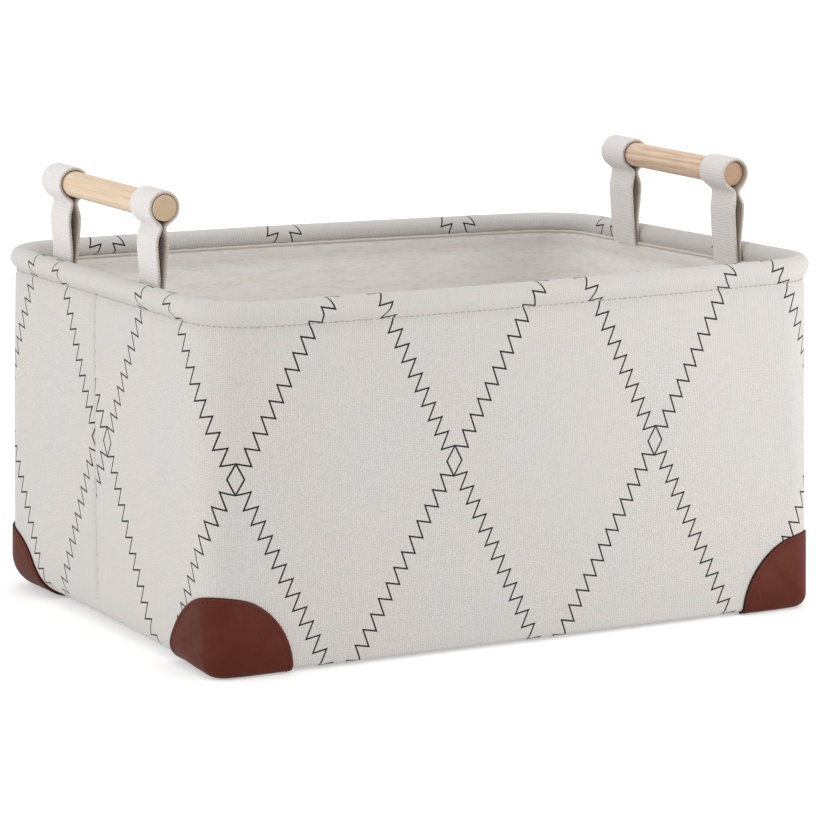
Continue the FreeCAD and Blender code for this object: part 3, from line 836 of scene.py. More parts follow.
class BIN_OT_lining(bpy.types.Operator):
    """Build the lining of the walls with its folded top edge, and the lining of the floor"""
    bl_idname = "storage_bin.lining"
    bl_label = "Lining"

    def execute(self, context):
        material = lining_material()
        fold = canvas_material(printed=False)
        self.walls(material)
        self.fold(fold)
        self.floor(material)
        return {"FINISHED"}

    def around(self, count):
        """Fractions and sides once round the bin, starting at the left seam."""
        half = count // 2
        front = [(-1, f) for f in np.linspace(-1, 1, half, endpoint=False)]
        back = [(1, f) for f in np.linspace(1, -1, half, endpoint=False)]
        return front + back

    def ring_rows(self, heights, insets, seed):
        places = self.around(420)
        grid = np.zeros((len(heights), len(places), 3))
        for side in (-1, 1):
            index = [i for i, p in enumerate(places) if p[0] == side]
            fraction = np.array([places[i][1] for i in index])
            u = fraction * panel_length(side)
            for i, (height, inset) in enumerate(zip(heights, insets)):
                slack = math.sin(math.pi * min(height / 200, 1))
                loose = 0.9 * ripple(u * 1.6, height * 1.3, seed + side) * slack
                out = -inset - loose - curl_inset(fraction, side, height)
                grid[i, index] = wall_point(fraction, np.full_like(u, height), side, out)
        return rim_warp(grid), places

    def walls(self, material):
        heights = np.concatenate([[5.9, 7.0, 9.0], np.linspace(13, 188, 44), [190.5, 194, 197, 199.2]])
        insets = np.full(len(heights), 3.75)
        insets[-4:] = (5.2, 6.9, 8.3, 8.9)
        grid, places = self.ring_rows(heights, insets, 60)
        columns = len(places)
        total = 2 * (panel_length(-1) + panel_length(1))
        u = np.arange(columns + 1) / columns * total
        grid = np.concatenate([grid, grid[:, :1]], 1)
        uv = np.stack(np.broadcast_arrays(u[None, :], heights[:, None]), -1) * MM
        points, faces, both = shell(grid, -0.8, uv)
        lining = make_object("wall_lining_cloth", points, faces, material, both)
        recalculate(lining)
        finish_piece(lining, "bin", "lining", "wall_lining")

    def fold(self, material):
        """The narrow piping that covers the lining's top edge, where it is sewn over the canvas hem."""
        turn = np.linspace(0, 2 * np.pi, 10, endpoint=False)
        heights = 199.4 + 1.15 * np.sin(turn)
        insets = 9.0 + 0.95 * np.cos(turn)
        places = self.around(420)
        grid = np.zeros((len(heights), len(places), 3))
        for side in (-1, 1):
            index = [i for i, p in enumerate(places) if p[0] == side]
            fraction = np.array([places[i][1] for i in index])
            u = fraction * panel_length(side)
            for i, (height, inset) in enumerate(zip(heights, insets)):
                rise = 0.3 * puckers(u, 44)
                grid[i, index] = wall_point(fraction, np.full_like(u, height) + rise, side,
                                            np.full_like(u, -inset) + 0.15 * puckers(u, 41))
        grid = rim_warp(grid)
        grid = np.concatenate([grid, grid[:1]], 0)
        rows, columns = grid.shape[:2]
        faces = grid_faces(rows - 1, columns, 0, closed=True)
        for j in range(columns):
            k = (j + 1) % columns
            faces.append(((rows - 2) * columns + j, (rows - 2) * columns + k, k, j))
        total = 2 * (panel_length(-1) + panel_length(1))
        u = np.arange(columns) / columns * total
        uv = np.stack(np.broadcast_arrays(u[None, :], np.arange(rows - 1)[:, None] * 1.4), -1) * MM
        strip = make_object("lining_top_fold", grid[:-1].reshape(-1, 3), faces, material, uv.reshape(-1, 2))
        recalculate(strip)
        finish_piece(strip, "bin", "canvas")

    def floor(self, material):
        steps = 60
        low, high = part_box("floor_lining")
        half_x, half_y = high.x / MM - 8.5, high.y / MM - 2.5
        axis_x = np.linspace(-1, 1, 84)
        axis_y = np.linspace(-1, 1, steps)
        power = 12.0
        gx, gy = np.meshgrid(axis_x, axis_y)
        squeeze = (np.abs(gx) ** power + np.abs(gy) ** power) ** (1 / power)
        largest = np.maximum(np.maximum(np.abs(gx), np.abs(gy)), 1e-6)
        shrink = largest / np.maximum(squeeze, 1e-6)
        x, y = gx * shrink * half_x, gy * shrink * half_y
        border = np.clip((np.maximum(np.abs(gx), np.abs(gy)) - 0.9) / 0.1, 0, 1)
        z = high.z / MM + 0.35 * ripple(x * 1.4, y * 1.4, 77) * (1 - border) + 0.9 * border ** 3
        grid = np.stack([x, y, z], -1)
        uv = np.stack([x, y], -1) * MM
        points, faces, both = shell(grid, 0.8, uv)
        floor = make_object("floor_lining_cloth", points, faces, material, both)
        recalculate(floor)
        finish_piece(floor, "bin", "lining", "floor_lining")


PATCH_REACH, PATCH_STITCH, PATCH_SHIFT = 49.0, 3.0, 2.5


def patch_rings():
    """Shares of the patch's reach, close together near the middle and at the sewn edge."""
    return np.concatenate([[0.0], np.linspace(0.025, 0.30, 12), np.linspace(0.36, 0.86, 9),
                           [0.90, 0.922, 0.932, 0.940, 0.948, 0.958, 0.972, 0.985, 0.994, 1.0]])


def patch_point(u, v, side, end, out):
    """A point on a patch: u along the cloth from the corner's middle, v up from the ground edge."""
    u = u + (PATCH_SHIFT if side < 0 else 0.0)
    base = ring_at(LEATHER, side)
    middle = base.bow_length + base.corner_length / 2
    fraction = (middle + u) / base.length(seam_of(side))
    edge, lift = curl_radius(fraction, side), ground_lift(fraction)
    arc = edge * np.pi / 2
    angle = np.clip(v / edge, 0, np.pi / 2)
    height = lift + edge * (1 - np.cos(angle)) + np.maximum(v - arc, 0)
    ring = ring_at(height, side)
    middle = ring.bow_length + ring.corner_length / 2
    flat, normal = ring.at(end * (middle + u), side)
    push = out * np.sin(angle) - edge * (1 - np.sin(angle))
    place = flat + normal * np.expand_dims(push, -1)
    return np.concatenate([place, np.expand_dims(height - out * np.cos(angle), -1)], -1)


class BIN_OT_leather(bpy.types.Operator):
    """Build the four leather corners, folded round the wall's corners and under the base"""
    bl_idname = "storage_bin.leather"
    bl_label = "Leather corners"

    def execute(self, context):
        material = leather_material()
        for name, side, end in (("front_left", -1, -1), ("front_right", -1, 1),
                                ("back_left", 1, -1), ("back_right", 1, 1)):
            self.patch(name, side, end, material)
        return {"FINISHED"}

    def patch(self, name, side, end, material):
        thick = shape().leather / MM
        shares = patch_rings()
        spokes = 73
        angle = np.linspace(0, np.pi, spokes)
        share, turn = np.meshgrid(shares, angle, indexing="ij")
        u = share * PATCH_REACH * 1.02 * np.cos(turn)
        v = share * PATCH_REACH * 0.985 * np.sin(turn)
        from_edge = (1 - share) * PATCH_REACH
        groove = 0.35 * bump_at(from_edge, PATCH_STITCH, 0.7)
        rounding = 0.9 * np.clip(1 - from_edge / 1.0, 0, 1) ** 2
        outer = thick - groove - rounding + 0.18 * ripple(u * 6, v * 6, 90 + side * 2 + end) - 0.1
        top = patch_point(u, v, side, end, outer)
        back = patch_point(u, v, side, end, np.full_like(u, 0.12))
        under_top, under_back = self.tuck(side, end, u, thick)
        layers = []
        for wall, under in ((top, under_top), (back, under_back)):
            layers.append(np.concatenate([wall.reshape(-1, 3), under.reshape(-1, 3)]))
        rings = len(shares)
        wall_count, under_shape = rings * spokes, under_top.shape[:2]
        faces = grid_faces(rings, spokes)
        faces += grid_faces(under_shape[0], under_shape[1], wall_count)
        count = wall_count + under_shape[0] * under_shape[1]
        points = np.concatenate(layers)
        back_faces = [tuple(i + count for i in f[::-1]) for f in faces]
        rim = [((rings - 1) * spokes + j, (rings - 1) * spokes + j + 1) for j in range(spokes - 1)]
        last = wall_count + (under_shape[0] - 1) * under_shape[1]
        rim += [(last + j, last + j + 1) for j in range(under_shape[1] - 1)]
        side_faces = [(a, b, b + count, a + count) for a, b in rim]
        edge_wall = np.clip(1 - from_edge / 0.75, 0, 1).ravel()
        edge_under = np.zeros(under_shape)
        edge_under[-1] = 1.0
        edge = np.concatenate([edge_wall, edge_under.ravel()])
        patch = make_object(name + "_leather", points, faces + back_faces + side_faces, material)
        point_values(patch, "edge", np.concatenate([edge, np.ones(count)]))
        recalculate(patch)
        finish_piece(patch, "bin", "leather", name + "_corner_patch")

    def tuck(self, side, end, u, thick):
        """The part under the base: from the lower edge in to a cut line across the corner."""
        line = np.concatenate([u[::-1, -1], u[1:, 0]])
        steps = 9
        outs = []
        for out in (thick, 0.12):
            lower = patch_point(line, np.zeros_like(line), side, end, np.full_like(line, out))
            centre = np.array([end * (BASE_HALF[0] - 34), side * (BASE_HALF[1] - 34), lower[0, 2]])
            depth = 0.56 * np.sqrt(np.clip(1 - (line / (PATCH_REACH * 1.02)) ** 2, 0, 1))
            rows = [lower + (centre - lower) * (depth * t)[:, None] for t in np.linspace(0, 1, steps)]
            outs.append(np.stack(rows))
        return outs


# ---------------------------------------------------------------- handles

STRAPS = [(hand, place) for hand in ("left", "right") for place in ("front", "back")]


def strap_box(hand, place):
    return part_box("%s_%s_strap" % (hand, place))


def handle_x(hand):
    low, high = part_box(hand + "_dowel")
    return (low.x + high.x) / 2 / MM


def dowel_height(hand):
    low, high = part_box(hand + "_dowel")
    return (low.z + high.z) / 2 / MM


EYELET = 8.85            # radius of the webbing's middle line round the dowel
# how far each loop, and each foot, sits to the back of its even place on the dowel and the rim
SLIDE = {("left", "front"): (0.5, 3.0), ("left", "back"): (9.5, 9.0),
         ("right", "front"): (-2.5, -7.5), ("right", "back"): (-0.5, -2.5)}
FOOT_HEIGHT = 196.2
THROAT = (1.35, 243.2)     # where a leg meets the loop: outwards and height


def strap_path(hand):
    """Middle line of the webbing as (outwards, height), from the foot round the dowel and back."""
    centre = dowel_height(hand)
    leg = [(1.2, FOOT_HEIGHT), (1.25, 201.0), (1.45, 207.0), (1.75, 213.0), (2.35, 220.0), (3.0, 227.0),
           (3.3, 232.0), (2.9, 236.0), (1.8, 239.3), (1.18, 241.6), THROAT]
    reach = centre - THROAT[1]
    touch = math.acos(EYELET / math.hypot(THROAT[0], reach)) + math.atan2(THROAT[0], reach)
    turn = np.linspace(touch - np.pi / 2, 3 * np.pi / 2 - touch, 25)
    ring = [(EYELET * math.cos(a), centre + EYELET * math.sin(a)) for a in turn]
    other = [(-x, z) for x, z in leg[::-1]]
    route = np.array(leg + ring + other)
    # the foot leans out under the rolled rim, where it is sewn
    low = np.clip((208.0 - route[:, 1]) / 11.0, 0, 1)
    route[:, 0] = route[:, 0] * (1 - 0.10 * low)
    shift = np.clip((209.0 - route[:, 1]) / 4.0, 0, 1) + 0.9 * np.clip((202.0 - route[:, 1]) / 5.5, 0, 1)
    return smooth_path(route, shift)


def smooth_path(route, shift):
    """Resample a route evenly with rounded corners; shift moves the whole foot outwards."""
    gaps = np.concatenate([[0], np.cumsum(np.linalg.norm(np.diff(route, axis=0), axis=1))])
    fine = np.linspace(0, gaps[-1], 1400)
    x, z, s = (np.interp(fine, gaps, c) for c in (route[:, 0], route[:, 1], shift))
    kernel = np.hanning(41)
    kernel /= kernel.sum()

    def soften(values):
        before, after = 2 * values[0] - values[20:0:-1], 2 * values[-1] - values[-2:-22:-1]
        padded = np.concatenate([before, values, after])
        return np.convolve(padded, kernel, "valid")

    return np.stack([soften(x), soften(z)], -1), soften(s), fine


class BIN_OT_straps(bpy.types.Operator):
    """Build the four webbing loops that hold the dowels, each with woven cross ribs"""
    bl_idname = "storage_bin.straps"
    bl_label = "Webbing loops"

    def execute(self, context):
        material = webbing_material()
        for hand, place in STRAPS:
            self.loop(hand, place, material)
        return {"FINISHED"}

    def loop(self, hand, place, material):
        out = 1 if hand == "right" else -1
        low, high = strap_box(hand, place)
        middle, half = (low.y + high.y) / 2 / MM, (high.y - low.y) / 2 / MM
        route, shift, lengths = strap_path(hand)
        rib = shape().rib / MM
        total = lengths[-1]
        steps = int(total / rib * 6)
        fine = np.linspace(0, total, steps)
        x = np.interp(fine, lengths, route[:, 0])
        z = np.interp(fine, lengths, route[:, 1])
        s = np.interp(fine, lengths, shift)
        tangent = np.stack([np.gradient(x), np.gradient(z)], -1)
        tangent /= np.linalg.norm(tangent, axis=1, keepdims=True)
        normal = np.stack([tangent[:, 1], -tangent[:, 0]], -1)
        thick = shape().webbing / MM
        wave = 0.10 * np.sin(2 * np.pi * fine / rib)
        # places across half the webbing's width, from its edge, and its share of full thickness there
        half_across = np.array([1, 0.985, 0.94, 0.86, 0.72, 0.5, 0.25])
        half_profile = np.array([0.30, 0.72, 0.95, 1.02, 1.0, 1.0, 1.0])
        across = np.concatenate([-half_across, [0], half_across[::-1]])
        profile = np.concatenate([half_profile, [1.0], half_profile[::-1]])
        top, foot = SLIDE[hand, place]
        slide = foot + (top - foot) * np.clip((z - 236.0) / 13.0, 0, 1)
        loop_x, loop_z, loop_y, uvs, edges = [], [], [], [], []
        sides = [(1, across), (-1, across[::-1])]
        for sign, order in sides:
            for w in order:
                share = float(np.interp(w, across, profile))
                depth = sign * (thick / 2 * share + wave * min(share, 1.0))
                width = half * (1 - 0.004 * np.sin(2 * np.pi * fine / rib) * (abs(w) > 0.9))
                loop_x.append(x + normal[:, 0] * depth)
                loop_z.append(z + normal[:, 1] * depth)
                loop_y.append(middle + w * width + slide)
                # The inner face's v is moved up by 30 so that the webbing material can paint shade on it.
                uvs.append(np.stack([fine, np.full(steps, w * half + (30 if sign < 0 else 0))], -1))
                edges.append(np.full(steps, 1.0 if abs(w) > 0.95 else 0.0))
        px = (np.array(loop_x) + s) * out + handle_x(hand)
        grid = np.stack([px, np.array(loop_y), np.array(loop_z)], -1).transpose(1, 0, 2)
        uv = np.stack(uvs).transpose(1, 0, 2) * MM
        rows, columns = grid.shape[:2]
        faces = grid_faces(rows, columns, closed=True)
        faces.append(tuple(range(columns))[::-1])
        faces.append(tuple((rows - 1) * columns + j for j in range(columns)))
        name = "%s_%s_webbing" % (hand, place)
        strap = make_object(name, grid.reshape(-1, 3), faces, material, uv.reshape(-1, 2))
        point_values(strap, "selvedge", np.stack(edges).T.ravel())
        recalculate(strap)
        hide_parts("%s_%s_strap" % (hand, place), "%s_%s_strap_tab" % (hand, place))
        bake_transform(strap)


class BIN_OT_dowels(bpy.types.Operator):
    """Turn the two wooden dowels"""
    bl_idname = "storage_bin.dowels"
    bl_label = "Dowels"

    def execute(self, context):
        for hand in ("left", "right"):
            x, z = handle_x(hand) * MM, dowel_height(hand) * MM
            if hand == "left":
                wood = wood_material("pale_wood", (0.60, 0.475, 0.345), (0.47, 0.345, 0.215),
                                     (x + 0.030, z - 0.022), 0.004)
            else:
                wood = wood_material("grained_wood", (0.62, 0.47, 0.345), (0.36, 0.225, 0.135),
                                     (x - 0.006, z - 0.013), 0.005)
            self.dowel(hand, wood)
        return {"FINISHED"}

    def dowel(self, hand, material):
        low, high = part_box(hand + "_dowel")
        x, z = handle_x(hand), dowel_height(hand)
        radius = (high.x - low.x) / 2 / MM - 0.02
        start, end = low.y / MM + 0.05, high.y / MM - 0.05
        bevel = 0.7
        sections = [(start, 0.0), (start, radius * 0.35), (start + 0.03, radius * 0.7),
                    (start + 0.06, radius - bevel)]
        for a in np.linspace(0, np.pi / 2, 5)[1:]:
            sections.append((start + bevel * (1 - math.cos(a)) + 0.06, radius - bevel * (1 - math.sin(a))))
        body = [(y, radius) for y in np.linspace(start + 2, end - 2, 60)]
        mirrored = [(start + end - y, r) for y, r in sections[::-1]]
        sections = sections + body + mirrored
        turns = 64
        angle = np.linspace(0, 2 * np.pi, turns, endpoint=False)
        grid = np.zeros((len(sections), turns, 3))
        for i, (y, r) in enumerate(sections):
            wave = 1 + 0.004 * np.sin(y / 17.0 + 2 * angle) * (r > radius * 0.9)
            grid[i, :, 0] = x + np.minimum(r * wave, radius) * np.cos(angle)
            grid[i, :, 1] = y
            grid[i, :, 2] = z + np.minimum(r * wave, radius) * np.sin(angle)
        faces = grid_faces(len(sections), turns, closed=True)
        dowel = make_object(hand + "_dowel_bar", grid.reshape(-1, 3), faces, material)
        ends = [1.0 if (i < 5 or i >= len(sections) - 5) else 0.0 for i in range(len(sections))]
        point_values(dowel, "end_grain", np.repeat(ends, turns))
        recalculate(dowel)
        finish_piece(dowel, hand + "_bar", "dowel_wood", hand + "_dowel")


# ---------------------------------------------------------------- stitching

def stitch_tree(material):
    """Geometry nodes that lay one short thread bead at every step along a line of edges."""
    tree = bpy.data.node_groups.new("stitches_" + material.name, "GeometryNodeTree")
    inputs = {}
    tree.interface.new_socket("Geometry", in_out="INPUT", socket_type="NodeSocketGeometry")
    for name, default in (("Pitch", 0.0036), ("Length", 0.0024), ("Thickness", 0.0006)):
        socket = tree.interface.new_socket(name, in_out="INPUT", socket_type="NodeSocketFloat")
        socket.default_value = default
        inputs[name] = socket.identifier
    seed = tree.interface.new_socket("Seed", in_out="INPUT", socket_type="NodeSocketInt")
    seed.default_value = 3
    inputs["Seed"] = seed.identifier
    tree.interface.new_socket("Geometry", in_out="OUTPUT", socket_type="NodeSocketGeometry")
    nodes, links = tree.nodes, tree.links
    enter, leave = nodes.new("NodeGroupInput"), nodes.new("NodeGroupOutput")
    curve = nodes.new("GeometryNodeMeshToCurve")
    resample = nodes.new("GeometryNodeResampleCurve")
    resample.mode = "LENGTH"
    bead = nodes.new("GeometryNodeMeshUVSphere")
    bead.inputs["Segments"].default_value = 6
    bead.inputs["Rings"].default_value = 5
    bead.inputs["Radius"].default_value = 0.5
    points = nodes.new("GeometryNodeInstanceOnPoints")
    tangent = nodes.new("GeometryNodeInputTangent")
    align = nodes.new("FunctionNodeAlignRotationToVector")
    align.axis = "Z"
    size = nodes.new("ShaderNodeCombineXYZ")
    vary = nodes.new("FunctionNodeRandomValue")
    vary.data_type = "FLOAT"
    vary.inputs[2].default_value = 0.82
    vary.inputs[3].default_value = 1.12
    times = nodes.new("ShaderNodeMath")
    times.operation = "MULTIPLY"
    realize = nodes.new("GeometryNodeRealizeInstances")
    paint = nodes.new("GeometryNodeSetMaterial")
    paint.inputs["Material"].default_value = material
    links.new(enter.outputs["Geometry"], curve.inputs["Mesh"])
    links.new(curve.outputs["Curve"], resample.inputs["Curve"])
    links.new(enter.outputs["Pitch"], resample.inputs["Length"])
    links.new(resample.outputs["Curve"], points.inputs["Points"])
    links.new(bead.outputs["Mesh"], points.inputs["Instance"])
    links.new(tangent.outputs[0], align.inputs["Vector"])
    links.new(align.outputs[0], points.inputs["Rotation"])
    links.new(enter.outputs["Seed"], vary.inputs["Seed"])
    links.new(enter.outputs["Length"], times.inputs[0])
    links.new(vary.outputs[1], times.inputs[1])
    links.new(enter.outputs["Thickness"], size.inputs[0])
    links.new(enter.outputs["Thickness"], size.inputs[1])
    links.new(times.outputs[0], size.inputs[2])
    links.new(size.outputs[0], points.inputs["Scale"])
    links.new(points.outputs["Instances"], realize.inputs["Geometry"])
    links.new(realize.outputs["Geometry"], paint.inputs["Geometry"])
    links.new(paint.outputs["Geometry"], leave.inputs["Geometry"])
    return tree, inputs


def sew(name, lines, material, body, slot, pitch, length, thickness, seed=3):
    """Stitch along each line of points, in millimetres; one plain mesh comes out."""
    points, edges = [], []
    for line in lines:
        start = len(points)
        points += [tuple(p * MM) for p in np.asarray(line)]
        edges += [(start + i, start + i + 1) for i in range(len(line) - 1)]
    mesh = bpy.data.meshes.new(name + "_line")
    mesh.from_pydata(points, edges, [])
    guide = bpy.data.objects.new(name + "_line", mesh)
    bpy.context.scene.collection.objects.link(guide)
    tree, inputs = stitch_tree(material)
    modifier = guide.modifiers.new("stitches", "NODES")
    modifier.node_group = tree
    sizes = {"Pitch": pitch * MM, "Length": length * MM, "Thickness": thickness * MM, "Seed": seed}
    for key, value in sizes.items():
        modifier[inputs[key]] = value
    bpy.context.view_layer.update()
    evaluated = guide.evaluated_get(bpy.context.evaluated_depsgraph_get())
    made = bpy.data.meshes.new_from_object(evaluated)
    made.name = name
    bpy.data.objects.remove(guide)
    thing = bpy.data.objects.new(name, made)
    bpy.context.scene.collection.objects.link(thing)
    thing.data.polygons.foreach_set("use_smooth", [True] * len(thing.data.polygons))
    recalculate(thing, merge=False)
    return finish_piece(thing, body, slot)


class BIN_OT_stitching(bpy.types.Operator):
    """Sew the hems, the end seams, the leather corners and the throats of the webbing loops"""
    bl_idname = "storage_bin.stitching"
    bl_label = "Stitching"

    def execute(self, context):
        thread = thread_material("hem_thread", finish().thread)
        pale = thread_material("webbing_thread", [c * 0.93 for c in finish().webbing])
        cream = thread_material("piping_thread", [c * 1.2 for c in finish().canvas])
        brown = thread_material("leather_thread", [c * 1.25 for c in finish().leather])
        self.hems(thread, cream)
        self.seams(thread)
        self.leather(brown)
        self.throats(pale)
        return {"FINISHED"}

    def around(self, height, out, seed):
        line = []
        for side, order in ((-1, np.linspace(-1, 1, 500, endpoint=False)), (1, np.linspace(1, -1, 501))):
            u = order * panel_length(side)
            rise = 0.25 * puckers(u, seed)
            line.append(rim_warp(wall_point(order, height + rise, side, np.full_like(u, out))))
        return np.concatenate(line)

    def hems(self, thread, cream):
        pitch = shape().stitch / MM
        sew("outer_hem_stitching", [self.around(HEM_HEIGHT, -0.85, 14)], thread, "bin", "canvas",
            pitch, 2.3, 0.62)
        sew("inner_hem_stitching", [self.around(199.6, -9.85, 15)], cream, "bin", "canvas",
            pitch, 2.2, 0.6, 5)

    def seams(self, thread):
        lines = []
        for end in (-1, 1):
            height = np.linspace(18, 190, 60)
            fraction, out = np.full_like(height, end * 0.993), np.full_like(height, 0.9)
            lines.append(rim_warp(wall_point(fraction, height, -1, out)))
        sew("end_seam_stitching", lines, thread, "bin", "canvas", 8.2, 1.1, 0.5, 7)

    def leather(self, thread):
        lines = []
        share = 1 - PATCH_STITCH / PATCH_REACH
        angle = np.linspace(0.02, np.pi - 0.02, 160)
        u = share * PATCH_REACH * 1.02 * np.cos(angle)
        v = share * PATCH_REACH * 0.985 * np.sin(angle)
        for side, end in ((-1, -1), (-1, 1), (1, -1), (1, 1)):
            lines.append(patch_point(u, v, side, end, np.full_like(u, LEATHER - 0.2)))
        sew("leather_stitching", lines, thread, "bin", "leather", 3.4, 2.5, 0.6, 9)

    def throats(self, thread):
        for hand in ("left", "right"):
            lines = []
            out = 1 if hand == "right" else -1
            for place in ("front", "back"):
                low, high = strap_box(hand, place)
                slide = SLIDE[hand, place][1] * 0.6 + SLIDE[hand, place][0] * 0.4
                y = np.linspace(low.y / MM + 2, high.y / MM - 2, 20) + slide
                for face in (-1, 1):
                    x = np.full_like(y, handle_x(hand) + face * 2.32)
                    lines.append(np.stack([x, y, np.full_like(y, 241.7)], -1))
            sew(hand + "_throat_stitching", lines, thread, hand + "_handle", "webbing", 2.9, 2.0, 0.55, 11)


FOAM_INSET = 2.6           # from the wall's outline to the foam sheets' outer face


class BIN_OT_inside(bpy.types.Operator):
    """Build the hidden parts as they bend with the cloth: foam, board, rim wire and its sleeve"""
    bl_idname = "storage_bin.inside"
    bl_label = "Stiffeners, board and wire"

    def execute(self, context):
        foam = hidden_material("foam_sheet", (0.80, 0.80, 0.79), 0.0, 0.8, 900.0)
        board = hidden_material("pale_board", (0.74, 0.74, 0.72), 0.0, 0.45, 160.0)
        steel = hidden_material("drawn_wire", (0.58, 0.58, 0.59), 1.0, 0.28, 700.0)
        heights = np.linspace(21, 188, 24)
        for side, name in ((-1, "front"), (1, "back")):
            fraction = np.linspace(-0.44, 0.44, 60)
            inward = np.full_like(fraction, -FOAM_INSET)
            grid = np.stack([wall_point(fraction, np.full_like(fraction, h), side, inward)
                             for h in heights])
            self.sheet(name, rim_warp(grid), foam)
        for end, name in ((-1, "left"), (1, "right")):
            y = np.linspace(-95, 95, 30)
            across, up = np.meshgrid(y, heights)
            x = end * (ring_at(up, -1).a - FOAM_INSET)
            self.sheet(name, rim_warp(np.stack([x, across, up], -1)), foam)
        self.board(board)
        whole, joint = np.linspace(0, 1, 400), np.linspace(0.733, 0.767, 12)
        self.wire("bent_rim_wire", WIRE_RADIUS - 0.1, whole, steel, "rim_wire")
        self.wire("crimped_wire_sleeve", WIRE_RADIUS + 0.9, joint, steel, "rim_wire_sleeve")
        return {"FINISHED"}

    def sheet(self, name, grid, material):
        uv = np.zeros(grid.shape[:2] + (2,))
        points, faces, both = shell(grid, 0.8, uv)
        sheet = make_object(name + "_foam_sheet", points, faces, material, both)
        recalculate(sheet)
        finish_piece(sheet, "bin", "stiffener", name + "_stiffener")

    def board(self, material):
        low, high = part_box("base_board")
        half_x, half_y = high.x / MM - 15, high.y / MM - 9
        turn = np.linspace(0, 2 * np.pi, 120, endpoint=False)
        outline = np.stack([half_x * np.sign(np.cos(turn)) * np.abs(np.cos(turn)) ** 0.16,
                            half_y * np.sign(np.sin(turn)) * np.abs(np.sin(turn)) ** 0.16], -1)
        levels = [(low.z / MM + 0.6, 0.0), (low.z / MM + 0.6, 0.996), (low.z / MM + 0.9, 1.0),
                  (high.z / MM - 0.3, 1.0), (high.z / MM, 0.996), (high.z / MM, 0.0)]
        grid = np.zeros((len(levels), len(turn), 3))
        for i, (height, share) in enumerate(levels):
            grid[i, :, :2] = outline * share
            grid[i, :, 2] = height
        faces = grid_faces(*grid.shape[:2], closed=True)
        board = make_object("stiff_base_board", grid.reshape(-1, 3), faces, material)
        recalculate(board)
        finish_piece(board, "bin", "board", "base_board")

    def wire(self, name, radius, places, material, node):
        """A round bar along the rim's middle line; places run from 0 to 1 round it, from the left seam."""
        rim = Ring(**RIM)
        line, outward = [], []
        for p in places:
            side = -1 if p < 0.5 else 1
            fraction = p * 4 - 1 if side < 0 else 3 - p * 4
            flat, normal = rim.at(np.array(fraction) * rim.length(seam_of(side)), side)
            line.append((flat[0], flat[1], ROLL_CENTRE))
            outward.append((normal[0], normal[1], 0.0))
        line, outward = rim_warp(np.array(line)), np.array(outward)
        closed = places[-1] - places[0] > 0.9
        if closed:
            line, outward = line[:-1], outward[:-1]
        angle = np.linspace(0, 2 * np.pi, 12, endpoint=False)
        up = np.array([0.0, 0.0, 1.0])
        grid = (line[:, None] + radius * np.cos(angle)[None, :, None] * outward[:, None]
                + radius * np.sin(angle)[None, :, None] * up)
        faces = grid_faces(*grid.shape[:2], closed=True)
        rows, columns = grid.shape[:2]
        if closed:
            for j in range(columns):
                k = (j + 1) % columns
                faces.append(((rows - 1) * columns + j, (rows - 1) * columns + k, k, j))
        else:
            faces.append(tuple(range(columns)))
            faces.append(tuple((rows - 1) * columns + j for j in range(columns))[::-1])
        bar = make_object(name, grid.reshape(-1, 3), faces, material)
        recalculate(bar)
        finish_piece(bar, "bin", "wire", node)


# ---------------------------------------------------------------- stage

CAMERA_PLACE = (-1.18799, -2.05099, 0.54856)
CAMERA_AZIMUTH, CAMERA_DOWN, CAMERA_ROLL = 30.13, 10.40, 0.74
CAMERA_LENS = 175.82
FLOOR_HALF, FLOOR_HEIGHT = 9000.0, -0.4


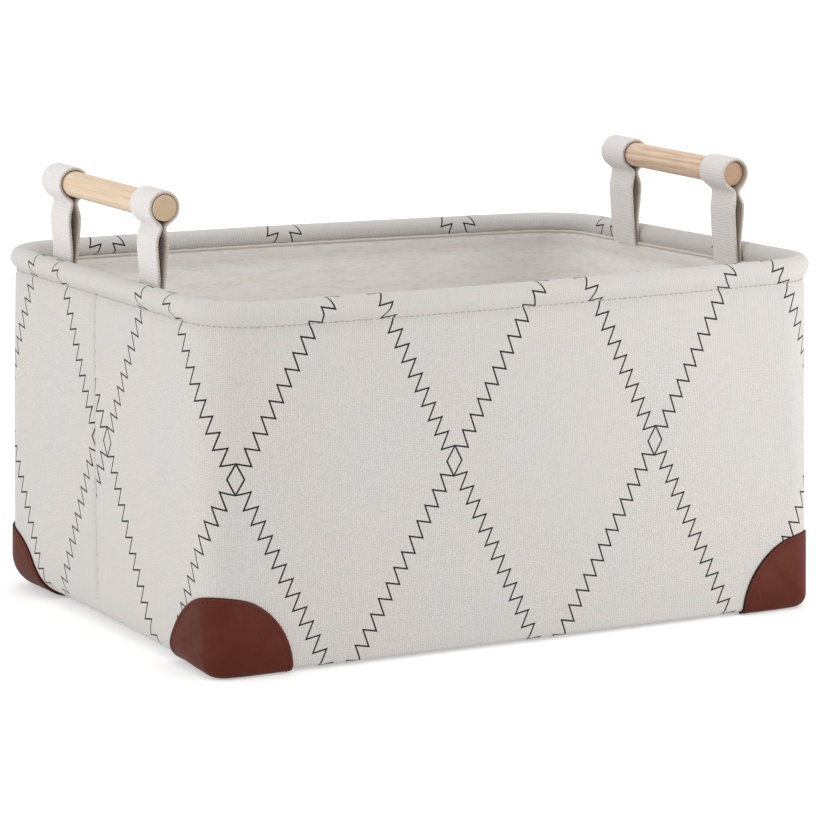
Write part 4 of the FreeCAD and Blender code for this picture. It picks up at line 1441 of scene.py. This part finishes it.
class BIN_OT_stage(bpy.types.Operator):
    """Set up the pale floor, which glows a little as painted light, the soft studio light and the camera"""
    bl_idname = "storage_bin.stage"
    bl_label = "Stage"

    def execute(self, context):
        self.camera()
        self.floor()
        self.lights()
        scene = bpy.context.scene
        scene.view_settings.view_transform = "Standard"
        scene.view_settings.look = "None"
        scene.view_settings.exposure = 0.0
        return {"FINISHED"}

    def camera(self):
        a, e, r = (math.radians(v) for v in (CAMERA_AZIMUTH, CAMERA_DOWN, CAMERA_ROLL))
        forward = Vector((math.sin(a) * math.cos(e), math.cos(a) * math.cos(e), -math.sin(e)))
        right = Vector((math.cos(a), -math.sin(a), 0))
        up = right.cross(forward)
        tilted = right * math.cos(r) + up * math.sin(r)
        raised = up * math.cos(r) - right * math.sin(r)
        data = bpy.data.cameras.new("camera")
        data.sensor_width = 36.0
        data.lens = CAMERA_LENS
        data.clip_start, data.clip_end = 0.1, 50.0
        camera = bpy.data.objects.new("camera", data)
        turn = Matrix((tilted, raised, -forward)).transposed().to_4x4()
        camera.matrix_world = Matrix.Translation(Vector(CAMERA_PLACE)) @ turn
        bpy.context.scene.collection.objects.link(camera)
        bpy.context.scene.camera = camera

    def floor(self):
        paint = Paint("studio_floor")
        paint.set("Base Color", (0.70, 0.70, 0.70))
        # The floor glows a little: painted light that lifts the bin's cast shadow to white and lights its
        # lower walls from below.
        paint.set("Emission Color", (1.0, 1.0, 1.0))
        paint.set("Emission Strength", 0.36)
        paint.set("Roughness", 0.9)
        paint.set("Specular IOR Level", 0.0)
        corners = ((-1, -1), (1, -1), (1, 1), (-1, 1))
        points = [(x * FLOOR_HALF, y * FLOOR_HALF, FLOOR_HEIGHT) for x, y in corners]
        floor = make_object("studio_floor", points, [(0, 1, 2, 3)], paint.material, smooth=False)

    def lights(self):
        world = bpy.data.worlds.new("studio")
        world.use_nodes = True
        background = world.node_tree.nodes["Background"]
        background.inputs["Color"].default_value = (1.0, 1.0, 1.0, 1.0)
        background.inputs["Strength"].default_value = 1.0
        bpy.context.scene.world = world
        for name, place, size, power in (("left_softbox", (-2.8, 0.2, 1.0), 1.8, 29.0),
                                         ("right_softbox", (0.70, -0.72, 0.36), 0.4, 3.8),
                                         ("top_softbox", (0.2, 0.6, 2.8), 2.4, 14.0)):
            data = bpy.data.lights.new(name, "AREA")
            data.shape = "SQUARE"
            data.size = size
            data.energy = power
            light = bpy.data.objects.new(name, data)
            aim = Vector((0, 0, 0.1)) - Vector(place)
            turn = aim.to_track_quat("-Z", "Y").to_matrix().to_4x4()
            light.matrix_world = Matrix.Translation(Vector(place)) @ turn
            bpy.context.scene.collection.objects.link(light)


class BIN_PT_panel(bpy.types.Panel):
    """Lists the sizes, the colours and the steps"""
    bl_idname = "BIN_PT_panel"
    bl_label = "Storage bin"
    bl_space_type = "VIEW_3D"
    bl_region_type = "UI"
    bl_category = "Bin"

    def draw(self, context):
        for group in (context.scene.bin_shape, context.scene.bin_finish):
            for key in group.__annotations__:
                self.layout.prop(group, key)
        for operator in OPERATORS:
            self.layout.operator(operator.bl_idname)


OPERATORS = (BIN_OT_stage, BIN_OT_canvas, BIN_OT_lining, BIN_OT_leather, BIN_OT_straps, BIN_OT_dowels,
             BIN_OT_stitching, BIN_OT_inside)
CLASSES = (BinShape, BinFinish, *OPERATORS, BIN_PT_panel)


def register():
    for cls in CLASSES:
        bpy.utils.register_class(cls)
    bpy.types.Scene.bin_shape = bpy.props.PointerProperty(type=BinShape)
    bpy.types.Scene.bin_finish = bpy.props.PointerProperty(type=BinFinish)


def unregister():
    del bpy.types.Scene.bin_finish
    del bpy.types.Scene.bin_shape
    for cls in reversed(CLASSES):
        bpy.utils.unregister_class(cls)


def main():
    register()
    bpy.ops.storage_bin.stage()
    bpy.ops.storage_bin.inside()
    bpy.ops.storage_bin.canvas()
    bpy.ops.storage_bin.lining()
    bpy.ops.storage_bin.leather()
    bpy.ops.storage_bin.straps()
    bpy.ops.storage_bin.dowels()
    bpy.ops.storage_bin.stitching()


if __name__ == "__main__":
    main()
